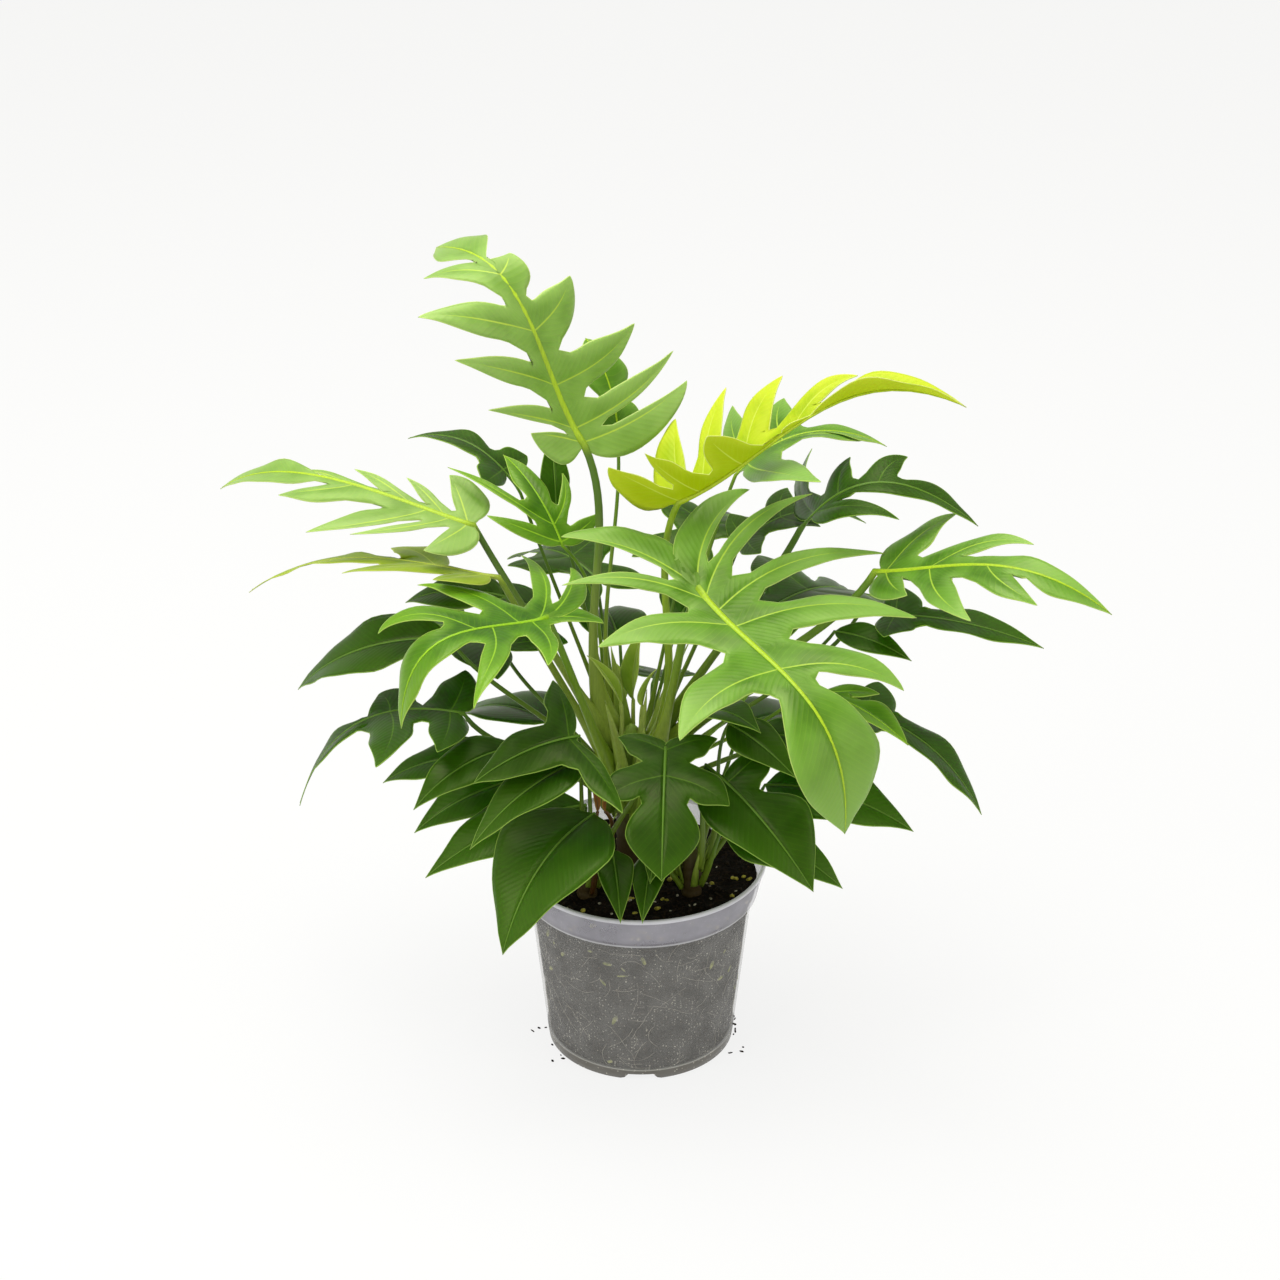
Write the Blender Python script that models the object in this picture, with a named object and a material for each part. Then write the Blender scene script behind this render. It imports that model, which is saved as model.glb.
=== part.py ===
import bmesh
import bpy
import numpy as np
from math import cos, pi, radians, sin, tan
from mathutils import Vector
from mathutils.geometry import delaunay_2d_cdt

# A philodendron in a clear nursery pot. Lengths are in millimetres until makeObject scales them.

# Pot
rimRadius = 85.0
potHeight = 139.0
collarHeight = 24.0
collarFootRadius = 79.5
bodyTopRadius = 76.0
baseRadius = 64.0
wall = 1.4
lipWall = 2.6
lipHeight = 3.0
floorHeight = 6.0
footWidth = 4.0
notchWidth = 24.0
notchHeight = 4.6
notchSlope = 3.0
notchCount = 4
potSegments = 56

# Soil
soilDepthBelowRim = 14.0
soilMound = 2.0
stemRoot = 18.0
clearance = 0.3

# Plant
leafThickness = 1.0
ribDepth = 1.5
stalkTaper = 0.75
stalkSides = 6
sinusDepth = 0.38
lobeGap = 0.32
lobeBulge = 0.35
lobeTip = 0.8
outerLobeWidth = 0.13

soilTop = potHeight - soilDepthBelowRim

# Shoots: place on the soil, radius, and height above it
shoots = {
    "main": dict(at=(-6, 14), radius=11.0, height=106),
    "left": dict(at=(-36, -26), radius=7.0, height=42),
    "right": dict(at=(34, -24), radius=7.0, height=34),
}

# Leaves. foot: bearing on the shoot in degrees and height above the soil. base, tip: the ends of the
# blade from the pot's axis and the soil. bow: height of the midrib's arch. left, right: the lobes of
# each side as (start on the midrib %, angle from the tip's direction, length %, forward bend).
leaves = {
    "leaf_top": dict(
        shoot="main", foot=(160, 98), sway=0, stalk=3.3,
        base=(-36, 25, 301), tip=(-130, 80, 414), bow=54, skew=0.9, roll=-32,
        fold=(12, 12), droop=0.15, width=0.085, peak=0.35, cut=0.2, gap=0.44,
        left=((1, 43, 19, -10), (6, 40, 34, -12), (22, 38, 39, -15), (42, 44, 37, -18), (62, 39, 23, -20)),
        right=((1, 107, 40, 26), (6, 99, 41, 28), (22, 98, 32, 30), (42, 80, 20, 32), (62, 78, 8, 34)),
    ),
    "leaf_top_rear": dict(
        shoot="main", foot=(134, 96), sway=0, stalk=1.5,
        base=(-15, 63, 290), tip=(-36, 92, 349), bow=10, skew=0, roll=0,
        fold=(10, 10), droop=0, width=0.1, peak=0.35,
        left=((1, 90, 31, -10), (63, 50, 22, 25)),
        right=((1, 90, 31, -10), (63, 50, 22, 25)),
    ),
    "leaf_new": dict(
        shoot="main", foot=(343, 94), sway=0, stalk=2.9,
        base=(24, 5, 270), tip=(201, -10, 340), bow=26, skew=0.9, roll=0,
        fold=(45, 62), droop=0.05, width=0.07, peak=0.35, cut=0.26, gap=0.44,
        left=((1, 88, 31, 24), (8, 66, 37, 27), (24, 56, 31, 31), (44, 37, 25, 34)),
        right=((1, 120, 33, 16), (8, 113, 31, 19), (24, 100, 21, 21), (44, 161, 4, 24)),
    ),
    "leaf_new_rear": dict(
        shoot="main", foot=(34, 91), sway=0, stalk=1.6,
        base=(62, 60, 266), tip=(161, 70, 282), bow=20, skew=0, roll=0,
        fold=(10, 10), droop=0, width=0.09, peak=0.35, cut=0.28, gap=0.42,
        left=((10, 95, 72, 20), (35, 94, 51, 30)),
        right=((10, 80, 102, 20), (35, 19, 49, 30)),
    ),
    "leaf_upper_right": dict(
        shoot="main", foot=(13, 85), sway=0, stalk=3,
        base=(104, 40, 236), tip=(217, 20, 247), bow=37, skew=-0.1, roll=15,
        fold=(6, 6), droop=0.08, width=0.08, peak=0.35, cut=0.2, gap=0.46,
        left=((12, 124, 74, 40), (28, 102, 26, 43), (48, 84, 25, 46)),
        right=((12, 36, 53, 20),),
    ),
    "leaf_right": dict(
        shoot="main", foot=(357, 76), sway=0, stalk=3.3,
        base=(150, 0, 224), tip=(287, -85, 234), bow=24, skew=0.6, roll=22,
        fold=(5, 5), droop=0.1, width=0.07, peak=0.35, cut=0.2, gap=0.46,
        left=((5, 82, 36, 38), (25, 45, 41, 46)),
        right=((5, 59, 22, 38), (25, 63, 42, 42), (50, 50, 29, 46)),
    ),
    "leaf_right_dark": dict(
        shoot="main", foot=(325, 59), sway=0, stalk=1.8,
        base=(141, 8, 189), tip=(258, -22, 180), bow=9, skew=0, roll=10,
        fold=(10, 10), droop=0, width=0.12, peak=0.35,
        left=((20, 94, 24, 2),),
        right=((20, 94, 24, 2),),
    ),
    "leaf_right_small": dict(
        shoot="main", foot=(356, 63), sway=14, stalk=1.5,
        base=(126, 5, 179), tip=(174, -20, 170), bow=6, skew=0, roll=27,
        fold=(10, 10), droop=0, width=0.2, peak=0.35,
    ),
    "leaf_front": dict(
        shoot="main", foot=(317, 78), sway=0, stalk=3.3,
        base=(36, -38, 230), tip=(125, -135, 109), bow=43, skew=0.8, roll=12,
        fold=(4, 4), droop=0.05, width=0.15, peak=0.5, cut=0.22, gap=0.46,
        left=((0, 151, 45, 56), (4, 135, 59, 54), (10, 110, 62, 51), (18, 86, 57, 48), (40, 74, 39, 46)),
        right=((0, 165, 45, 44), (5, 148, 45, 46), (17, 134, 42, 48), (40, 106, 42, 50)),
    ),
    "leaf_left": dict(
        shoot="main", foot=(179, 89), sway=0, stalk=2.8,
        base=(-108, 28, 244), tip=(-286, 120, 231), bow=24, skew=0.5, roll=-20,
        fold=(8, 8), droop=0.2, width=0.055, peak=0.35, cut=0.2, gap=0.46,
        left=((2, 79, 18, 24), (8, 52, 32, 27), (16, 54, 39, 31), (42, 42, 25, 34)),
        right=((2, 53, 22, 10), (10, 33, 21, 10), (22, 22, 25, 10), (45, 12, 17, 10)),
    ),
    "leaf_left_rear": dict(
        shoot="main", foot=(141, 87), sway=0, stalk=1.5,
        base=(-80, 82, 244), tip=(-157, 122, 267), bow=17, skew=0, roll=2,
        fold=(10, 10), droop=0, width=0.13, peak=0.35,
        left=((20, 94, 34, 2),),
        right=((20, 94, 29, 2),),
    ),
    "leaf_rear_blade": dict(
        shoot="main", foot=(126, 83), sway=0, stalk=1.5,
        base=(-56, 70, 240), tip=(-60, 95, 282), bow=5, skew=0, roll=0,
        fold=(10, 10), droop=0, width=0.2, peak=0.35,
    ),
    "leaf_bright": dict(
        shoot="main", foot=(160, 68), sway=-35, stalk=1.5,
        base=(-51, 30, 229), tip=(-91, 85, 270), bow=8, skew=0, roll=0,
        fold=(10, 10), droop=0.2, width=0.12, peak=0.35, cut=0.26, gap=0.42,
        left=((3, 63, 65, 20), (18, 48, 105, 40)),
        right=((3, 82, 46, 20), (18, 57, 57, 40)),
    ),
    "leaf_olive": dict(
        shoot="main", foot=(189, 74), sway=0, stalk=2.7,
        base=(-91, 0, 220), tip=(-260, 50, 186), bow=18, skew=0.4, roll=12,
        fold=(5, 5), droop=0, width=0.075, peak=0.35, cut=0.26, gap=0.4,
        left=((6, 70, 22, 20), (26, 64, 34, 30)),
        right=((24, 52, 34, 26),),
    ),
    "leaf_front_left": dict(
        shoot="main", foot=(219, 72), sway=0, stalk=3,
        base=(-59, -43, 212), tip=(-148, -95, 161), bow=34, skew=0.6, roll=-4,
        fold=(4, 4), droop=0.06, width=0.115, peak=0.35, cut=0.22, gap=0.44,
        left=((0, 165, 26, 44), (8, 93, 42, 45), (28, 73, 61, 46)),
        right=((0, 154, 54, 44), (4, 136, 70, 46), (14, 90, 59, 48), (36, 72, 53, 50)),
    ),
    "leaf_dark_left": dict(
        shoot="main", foot=(187, 61), sway=0, stalk=1.9,
        base=(-124, 0, 177), tip=(-231, 45, 116), bow=15, skew=0, roll=-25,
        fold=(10, 10), droop=0, width=0.19, peak=0.35,
    ),
    "leaf_dark_upper": dict(
        shoot="main", foot=(176, 67), sway=-7, stalk=1.5,
        base=(-88, 20, 197), tip=(-157, 55, 176), bow=8, skew=0, roll=-22,
        fold=(10, 10), droop=0, width=0.22, peak=0.35,
    ),
    "leaf_low_left_lobed": dict(
        shoot="main", foot=(190, 43), sway=0, stalk=2.2,
        base=(-116, -5, 124), tip=(-229, 5, 49), bow=31, skew=-0.1, roll=-4,
        fold=(8, 8), droop=0, width=0.075, peak=0.35, cut=0.22, gap=0.42,
        left=((6, 98, 38, 20), (32, 110, 52, 36)),
        right=((6, 105, 33, 20), (32, 85, 19, 36)),
    ),
    "leaf_low_left_a": dict(
        shoot="left", foot=(152, 22), sway=0, stalk=1.5,
        base=(-94, 5, 86), tip=(-174, 20, 58), bow=10, skew=0, roll=-22,
        fold=(10, 10), droop=0, width=0.2, peak=0.35,
    ),
    "leaf_low_left_b": dict(
        shoot="left", foot=(169, 25), sway=0, stalk=1.5,
        base=(-66, -13, 82), tip=(-149, -33, 50), bow=12, skew=0, roll=-22,
        fold=(10, 10), droop=0, width=0.23, peak=0.35,
    ),
    "leaf_low_left_c": dict(
        shoot="left", foot=(282, 38), sway=0, stalk=1.5,
        base=(-33, -64, 124), tip=(-107, -110, 83), bow=12, skew=0, roll=-12,
        fold=(10, 10), droop=0, width=0.2, peak=0.35,
    ),
    "leaf_low_left_d": dict(
        shoot="left", foot=(235, 14), sway=0, stalk=1.7,
        base=(-36, -35, 72), tip=(-139, -75, 41), bow=14, skew=0, roll=-17,
        fold=(10, 10), droop=0, width=0.215, peak=0.35,
    ),
    "leaf_three_lobed": dict(
        shoot="left", foot=(263, 34), sway=0, stalk=1.5,
        base=(-39, -62, 138), tip=(-105, -90, 119), bow=8, skew=0, roll=-18,
        fold=(0, 0), droop=0, width=0.24, peak=0.35, cut=0.36, gap=0.24,
        left=((10, 103, 88, 14),),
        right=((10, 114, 79, 14),),
    ),
    "leaf_low_front": dict(
        shoot="left", foot=(280, 20), sway=-14, stalk=1.7,
        base=(-30, -60, 80), tip=(-87, -130, 18), bow=18, skew=0, roll=0,
        fold=(10, 10), droop=0, width=0.36, peak=0.3,
    ),
    "leaf_centre": dict(
        shoot="left", foot=(335, 31), sway=0, stalk=1.5,
        base=(16, -50, 123), tip=(13, -120, 66), bow=12, skew=0, roll=0,
        fold=(5, 5), droop=0, width=0.25, peak=0.45, cut=0.42, gap=0.26,
        left=((3, 128, 38, 34), (26, 78, 50, 30)),
        right=((3, 128, 36, 34), (26, 78, 46, 30)),
    ),
    "leaf_rim_a": dict(
        shoot="right", foot=(185, 13), sway=0, stalk=1.5,
        base=(23, -32, 74), tip=(6, -79, 39), bow=8, skew=0, roll=0,
        fold=(10, 10), droop=0, width=0.27, peak=0.35,
    ),
    "leaf_rim_b": dict(
        shoot="left", foot=(330, 8), sway=0, stalk=1.5,
        base=(-19, -45, 44), tip=(-13, -98, 21), bow=8, skew=0, roll=0,
        fold=(10, 10), droop=0, width=0.2, peak=0.35,
    ),
    "leaf_rim_c": dict(
        shoot="right", foot=(216, 6), sway=0, stalk=1.5,
        base=(9, -42, 40), tip=(1, -98, 21), bow=8, skew=0, roll=0,
        fold=(10, 10), droop=0, width=0.19, peak=0.35,
    ),
    "leaf_inner_right": dict(
        shoot="right", foot=(358, 26), sway=0, stalk=1.5,
        base=(57, -25, 127), tip=(99, -65, 109), bow=6, skew=0, roll=22,
        fold=(10, 10), droop=0, width=0.26, peak=0.35,
    ),
    "leaf_low_right_a": dict(
        shoot="right", foot=(297, 23), sway=0, stalk=1.6,
        base=(42, -40, 105), tip=(109, -110, 52), bow=14, skew=0, roll=22,
        fold=(10, 10), droop=0, width=0.26, peak=0.35,
        left=((20, 94, 34, 2),),
    ),
    "leaf_low_right_b": dict(
        shoot="right", foot=(314, 9), sway=0, stalk=1.5,
        base=(54, -45, 62), tip=(130, -80, 36), bow=12, skew=0, roll=22,
        fold=(10, 10), droop=0, width=0.24, peak=0.35,
    ),
    "leaf_low_right_c": dict(
        shoot="right", foot=(11, 16), sway=0, stalk=1.5,
        base=(82, -15, 76), tip=(178, -45, 58), bow=14, skew=0, roll=22,
        fold=(10, 10), droop=0, width=0.25, peak=0.35,
    ),
    "leaf_right_low_lobed": dict(
        shoot="main", foot=(358, 41), sway=0, stalk=1.9,
        base=(122, 10, 123), tip=(224, -30, 62), bow=20, skew=0, roll=0,
        fold=(10, 10), droop=0, width=0.13, peak=0.35,
        left=((20, 94, 29, 2),),
        right=((20, 94, 29, 2),),
    ),
    "leaf_right_bright": dict(
        shoot="main", foot=(348, 54), sway=0, stalk=1.5,
        base=(104, -10, 145), tip=(170, -60, 130), bow=8, skew=0, roll=0,
        fold=(10, 10), droop=0, width=0.17, peak=0.35,
        left=((20, 40, 43, 2),),
    ),
    "leaf_inner_small": dict(
        shoot="main", foot=(315, 52), sway=0, stalk=1.5,
        base=(71, -14, 146), tip=(105, -4, 161), bow=4, skew=0, roll=0,
        fold=(10, 10), droop=0, width=0.24, peak=0.35,
    ),
    "sheath_a": dict(
        shoot="main", foot=(240, 47), sway=0, stalk=1.8,
        base=(-13, -10, 133), tip=(-35, -4, 166), bow=3, skew=0, roll=0,
        fold=(25, 25), droop=0, width=0.1, peak=0.35,
    ),
    "sheath_b": dict(
        shoot="main", foot=(110, 36), sway=7, stalk=1.6,
        base=(-11, 42, 110), tip=(-18, 44, 138), bow=2, skew=0, roll=0,
        fold=(25, 25), droop=0, width=0.12, peak=0.35,
    ),
    "sheath_c": dict(
        shoot="main", foot=(85, 39), sway=0, stalk=1.8,
        base=(-5, 33, 114), tip=(2, 37, 168), bow=3, skew=0, roll=0,
        fold=(25, 25), droop=0, width=0.09, peak=0.35,
    ),
    "sheath_d": dict(
        shoot="main", foot=(293, 45), sway=0, stalk=1.6,
        base=(1, -8, 131), tip=(10, -14, 161), bow=2, skew=0, roll=0,
        fold=(25, 25), droop=0, width=0.12, peak=0.35,
    ),
    "sheath_dry_a": dict(
        shoot="left", foot=(294, 4), sway=0, stalk=1.5,
        base=(-28, -49, 75), tip=(-33, -43, 97), bow=2, skew=0, roll=5,
        fold=(15, 15), droop=0, width=0.12, peak=0.35,
    ),
    "sheath_dry_b": dict(
        shoot="left", foot=(313, 23), sway=14, stalk=1.5,
        base=(-23, -40, 70), tip=(-20, -42, 90), bow=2, skew=0, roll=0,
        fold=(15, 15), droop=0, width=0.12, peak=0.35,
    ),
    "leaf_back_a": dict(
        shoot="main", foot=(66, 69), sway=0, stalk=1.5,
        base=(30, 95, 200), tip=(75, 155, 191), bow=12, skew=0, roll=0,
        fold=(10, 10), droop=0, width=0.12, peak=0.35,
        left=((1, 125, 47, -10), (34, 83, 57, 8), (63, 50, 34, 25)),
        right=((1, 125, 47, -10), (34, 83, 57, 8), (63, 50, 34, 25)),
    ),
    "leaf_back_b": dict(
        shoot="main", foot=(107, 58), sway=0, stalk=1.5,
        base=(-30, 95, 175), tip=(-85, 154, 165), bow=12, skew=0, roll=0,
        fold=(10, 10), droop=0, width=0.12, peak=0.35,
        left=((1, 125, 47, -10), (34, 83, 57, 8), (63, 50, 34, 25)),
        right=((1, 125, 47, -10), (34, 83, 57, 8), (63, 50, 34, 25)),
    ),
    "leaf_back_c": dict(
        shoot="main", foot=(29, 56), sway=0, stalk=1.8,
        base=(85, 65, 165), tip=(165, 145, 130), bow=16, skew=0, roll=0,
        fold=(10, 10), droop=0, width=0.13, peak=0.35,
        left=((1, 125, 39, -10), (34, 83, 48, 8), (63, 50, 28, 25)),
        right=((1, 125, 39, -10), (34, 83, 48, 8), (63, 50, 28, 25)),
    ),
    "leaf_back_d": dict(
        shoot="main", foot=(148, 50), sway=0, stalk=1.7,
        base=(-95, 70, 137), tip=(-180, 140, 100), bow=16, skew=0, roll=0,
        fold=(10, 10), droop=0, width=0.14, peak=0.35,
        left=((1, 125, 39, -10), (63, 50, 28, 25)),
        right=((1, 125, 39, -10), (63, 50, 28, 25)),
    ),
    "leaf_back_e": dict(
        shoot="main", foot=(44, 34), sway=0, stalk=1.5,
        base=(8, 85, 100), tip=(18, 152, 65), bow=10, skew=0, roll=0,
        fold=(10, 10), droop=0, width=0.26, peak=0.35,
        left=((20, 94, 38, 2),),
        right=((20, 94, 38, 2),),
    ),
    "leaf_back_f": dict(
        shoot="right", foot=(63, 19), sway=0, stalk=1.6,
        base=(66, 40, 90), tip=(140, 110, 47), bow=12, skew=0, roll=0,
        fold=(10, 10), droop=0, width=0.27, peak=0.35,
    ),
    "leaf_back_g": dict(
        shoot="main", foot=(141, 32), sway=0, stalk=1.6,
        base=(-62, 60, 83), tip=(-135, 130, 47), bow=12, skew=0, roll=0,
        fold=(10, 10), droop=0, width=0.27, peak=0.35,
    ),
    "leaf_mid_back_a": dict(
        shoot="main", foot=(98, 48), sway=0, stalk=1.5,
        base=(-14, 75, 134), tip=(-30, 150, 122), bow=12, skew=0, roll=0,
        fold=(10, 10), droop=0, width=0.3, peak=0.35,
    ),
    "leaf_mid_back_b": dict(
        shoot="main", foot=(72, 50), sway=0, stalk=1.5,
        base=(24, 72, 152), tip=(60, 140, 150), bow=12, skew=0, roll=0,
        fold=(10, 10), droop=0, width=0.3, peak=0.35,
    ),
    "leaf_mid_right": dict(
        shoot="main", foot=(42, 72), sway=0, stalk=1.7,
        base=(66, 72, 212), tip=(152, 96, 216), bow=16, skew=0, roll=0,
        fold=(10, 10), droop=0, width=0.12, peak=0.35, cut=0.26, gap=0.42,
        left=((6, 100, 36, 24), (34, 80, 40, 30)),
        right=((6, 100, 36, 24), (34, 80, 40, 30)),
    ),
    "leaf_mid_left": dict(
        shoot="main", foot=(158, 58), sway=0, stalk=1.6,
        base=(-62, 46, 172), tip=(-140, 62, 160), bow=14, skew=0, roll=0,
        fold=(10, 10), droop=0, width=0.26, peak=0.35,
    ),
    "leaf_low_left_e": dict(
        shoot="left", foot=(190, 30), sway=0, stalk=1.5,
        base=(-80, -22, 108), tip=(-146, -62, 84), bow=12, skew=0, roll=-12,
        fold=(10, 10), droop=0, width=0.24, peak=0.35,
    ),
    "leaf_low_right_d": dict(
        shoot="right", foot=(18, 27), sway=0, stalk=1.5,
        base=(74, 0, 104), tip=(146, -24, 92), bow=12, skew=0, roll=14,
        fold=(10, 10), droop=0, width=0.26, peak=0.35,
    ),
    "leaf_mid_front": dict(
        shoot="right", foot=(150, 28), sway=0, stalk=1.5,
        base=(30, -8, 118), tip=(76, -62, 140), bow=12, skew=0, roll=0,
        fold=(10, 10), droop=0, width=0.26, peak=0.35,
    ),
}

colours = {
    "leaf": (0.05, 0.16, 0.025, 1),
    "sheath": (0.30, 0.42, 0.09, 1),
    "stem": (0.20, 0.28, 0.06, 1),
    "soil": (0.012, 0.009, 0.007, 1),
    "pot": (0.36, 0.36, 0.38, 1),
}


def clearScene():
    for obj in list(bpy.data.objects):
        bpy.data.objects.remove(obj, do_unlink=True)
    for block in list(bpy.data.meshes) + list(bpy.data.materials):
        if block.users == 0:
            (bpy.data.meshes if isinstance(block, bpy.types.Mesh) else bpy.data.materials).remove(block)


def unit(v):
    v = np.asarray(v, float)
    return v / np.linalg.norm(v)


def makeObject(name, points, faces, colour=None):
    """One object from points in millimetres; without a colour it is a hidden helper."""
    mesh = bpy.data.meshes.new(name)
    mesh.from_pydata([tuple(p) for p in np.asarray(points) * 0.001], [], [tuple(int(i) for i in f) for f in faces])
    bm = bmesh.new()
    bm.from_mesh(mesh)
    bmesh.ops.remove_doubles(bm, verts=bm.verts, dist=1e-6)
    bmesh.ops.recalc_face_normals(bm, faces=bm.faces)
    bm.to_mesh(mesh)
    bm.free()
    obj = bpy.data.objects.new(name, mesh)
    bpy.context.scene.collection.objects.link(obj)
    if colour is None:
        obj.hide_render = True
        obj.display_type = "WIRE"
        return obj
    material = bpy.data.materials.new(name)
    material.use_nodes = True
    material.node_tree.nodes["Principled BSDF"].inputs["Base Color"].default_value = colours[colour]
    obj.data.materials.append(material)
    return obj


def combine(obj, other, operation):
    modifier = obj.modifiers.new(operation.lower() + "_" + other.name, "BOOLEAN")
    modifier.operation = operation
    modifier.solver = "EXACT"
    modifier.object = other


def revolve(profile, segments):
    """A closed body from a profile of (radius, height) points; radius 0 is a pole."""
    points, rings, faces = [], [], []
    for r, z in profile:
        if r == 0:
            rings.append([len(points)] * segments)
            points.append((0, 0, z))
            continue
        rings.append([len(points) + i for i in range(segments)])
        points += [(r * cos(2 * pi * i / segments), r * sin(2 * pi * i / segments), z) for i in range(segments)]
    for a, b in zip(rings, rings[1:] + rings[:1]):
        for i in range(segments):
            j = (i + 1) % segments
            ring = list(dict.fromkeys((a[i], a[j], b[j], b[i])))
            if len(ring) > 2:
                faces.append(ring)
    return points, faces


def tube(path, radii, sides):
    """A closed tube with flat ends."""
    path = np.asarray(path, float)
    along = np.gradient(path, axis=0)
    points, faces = [], []
    across = unit(np.cross(unit(along[0]), (0.3, 0.2, 0.1)))
    for p, t, r in zip(path, along, radii):
        t = unit(t)
        across = unit(across - t * t.dot(across))
        other = np.cross(t, across)
        for i in range(sides):
            a = 2 * pi * i / sides
            points.append(p + r * (cos(a) * across + sin(a) * other))
    for k in range(len(path) - 1):
        for i in range(sides):
            j = (i + 1) % sides
            faces.append((k * sides + i, k * sides + j, (k + 1) * sides + j, (k + 1) * sides + i))
    faces.append(tuple(range(sides)))
    faces.append(tuple(range(len(points) - sides, len(points))))
    return points, faces


def outerRadius(z):
    """Outer radius of the pot's tapered body."""
    return baseRadius + (bodyTopRadius - baseRadius) * z / (potHeight - collarHeight)


def potInnerProfile():
    """The inside from the middle of the floor to the rim."""
    step = potHeight - collarHeight
    return [
        (outerRadius(floorHeight) - wall, floorHeight + wall),
        (outerRadius(step) - wall, step + wall * 0.4),
        (collarFootRadius - wall, step + wall * 1.6),
        (rimRadius - lipWall, potHeight - 0.8),
    ]


def makePot():
    step = potHeight - collarHeight
    foot = outerRadius(0) - footWidth
    profile = [(0, floorHeight)]
    profile += [(foot - 1.0, floorHeight), (foot, 0.6), (foot + 0.8, 0), (baseRadius - 0.8, 0), (baseRadius, 0.6)]
    profile += [(outerRadius(floorHeight), floorHeight), (outerRadius(step - 0.6), step - 0.6)]
    profile += [(collarFootRadius - 0.4, step), (collarFootRadius, step + 0.8)]
    collarTop = rimRadius - 0.9
    profile += [(collarTop, potHeight - lipHeight), (rimRadius, potHeight - lipHeight + 0.6)]
    profile += [(rimRadius, potHeight - 0.8), (rimRadius - 0.8, potHeight), (rimRadius - lipWall + 0.8, potHeight)]
    profile += reversed(potInnerProfile())
    profile += [(0, floorHeight + wall)]
    pot = makeObject("pot", *revolve(profile, potSegments), "pot")
    for k in range(notchCount):
        angle = 2 * pi * k / notchCount - pi / 2
        out, side = np.array((cos(angle), sin(angle), 0)), np.array((-sin(angle), cos(angle), 0))
        points = []
        for r in (foot - 6, baseRadius + 4):
            for s, z in ((-1, -1), (1, -1), (1, notchHeight), (-1, notchHeight)):
                half = notchWidth / 2 - notchSlope * max(z, 0) / notchHeight
                points.append(out * r + side * s * half + np.array((0, 0, z)))
        faces = [(0, 1, 2, 3), (4, 5, 6, 7), (0, 1, 5, 4), (1, 2, 6, 5), (2, 3, 7, 6), (3, 0, 4, 7)]
        combine(pot, makeObject(f"notchCutter{k}", points, faces), "DIFFERENCE")


def shootProfile(name, extra):
    """A shoot, or with extra the hole round it, as rings of radius and height from the soil."""
    s = shoots[name]
    r, top = s["radius"] + extra, s["height"] + extra
    return [(0, -stemRoot - extra), (r * 0.7, -stemRoot - extra), (r, -stemRoot * 0.5), (r, top - 4), (r * 0.6, top), (0, top)]


def makeShoots():
    for name, s in shoots.items():
        for extra in (0, clearance):
            points, faces = revolve(shootProfile(name, extra), 16)
            points = [(x + s["at"][0], y + s["at"][1], z + soilTop) for x, y, z in points]
            if extra:
                combine(bpy.data.objects["soil"], makeObject(f"rootCutter_{name}", points, faces), "DIFFERENCE")
            else:
                makeObject(f"stem_{name}", points, faces, "stem")


def makeSoil():
    inner = potInnerProfile()
    rise = (soilTop - soilMound - inner[2][1]) / (inner[3][1] - inner[2][1])
    edge = inner[2][0] + rise * (inner[3][0] - inner[2][0])
    profile = [(0, inner[0][1] + clearance), (inner[0][0] - clearance * 1.5, inner[0][1] + clearance)]
    profile += [(inner[1][0] - clearance * 1.2, inner[1][1]), (inner[2][0] - clearance * 1.5, inner[2][1] + clearance)]
    profile += [(edge - clearance * 1.2, soilTop - soilMound), (edge * 0.8, soilTop - soilMound * 0.4)]
    profile += [(edge * 0.5, soilTop), (0, soilTop)]
    makeObject("soil", *revolve(profile, potSegments), "soil")


def midribArc(leaf):
    """The midrib's arch as x along the chord, height and length so far."""
    s = np.linspace(0, 1, 81)
    chord = np.linalg.norm(np.subtract(leaf["tip"], leaf["base"]))
    x = chord * s
    z = leaf["bow"] * 4 * s * (1 - s) * (1 + leaf["skew"] * (s - 0.5) * 2)
    length = np.concatenate([[0], np.cumsum(np.hypot(np.diff(x), np.diff(z)))])
    return x, z, length


def leafAxes(leaf):
    """Unit vectors of a blade: along the chord, out of its upper face, and to its right."""
    along = unit(np.subtract(leaf["tip"], leaf["base"]))
    up = np.array((0, 0, 1.0))
    upright = unit(up - up.dot(along) * along)
    roll = radians(leaf["roll"])
    normal = cos(roll) * upright + sin(roll) * np.cross(along, upright)
    return along, normal, np.cross(along, normal)


def place(leaf, flat, lift):
    """Blade points (right, along the midrib) to space, each lifted off the blade by lift."""
    flat = np.asarray(flat, float)
    right, y = flat[:, 0], flat[:, 1]
    xs, zs, lengths = midribArc(leaf)
    full = lengths[-1]
    inside = np.clip(y, 0, full)
    h = full / 200
    before, after = np.maximum(inside - h, 0), np.minimum(inside + h, full)
    tx = np.interp(after, lengths, xs) - np.interp(before, lengths, xs)
    tz = np.interp(after, lengths, zs) - np.interp(before, lengths, zs)
    size = np.hypot(tx, tz)
    tx, tz = tx / size, tz / size
    px = np.interp(inside, lengths, xs) + tx * (y - inside)
    pz = np.interp(inside, lengths, zs) + tz * (y - inside)
    along, normal, side = leafAxes(leaf)
    fold = np.radians(np.where(right < 0, leaf["fold"][0], leaf["fold"][1]))
    height = np.abs(right) * np.sin(fold) - leaf["droop"] * right**2 / full
    face = tx[:, None] * normal - tz[:, None] * along
    origin = np.array(leaf["base"], float) + (0, 0, soilTop)
    points = origin + px[:, None] * along + pz[:, None] * normal
    points += (right * np.cos(fold))[:, None] * side + height[:, None] * face
    return points + np.asarray(lift)[:, None] * face


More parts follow.
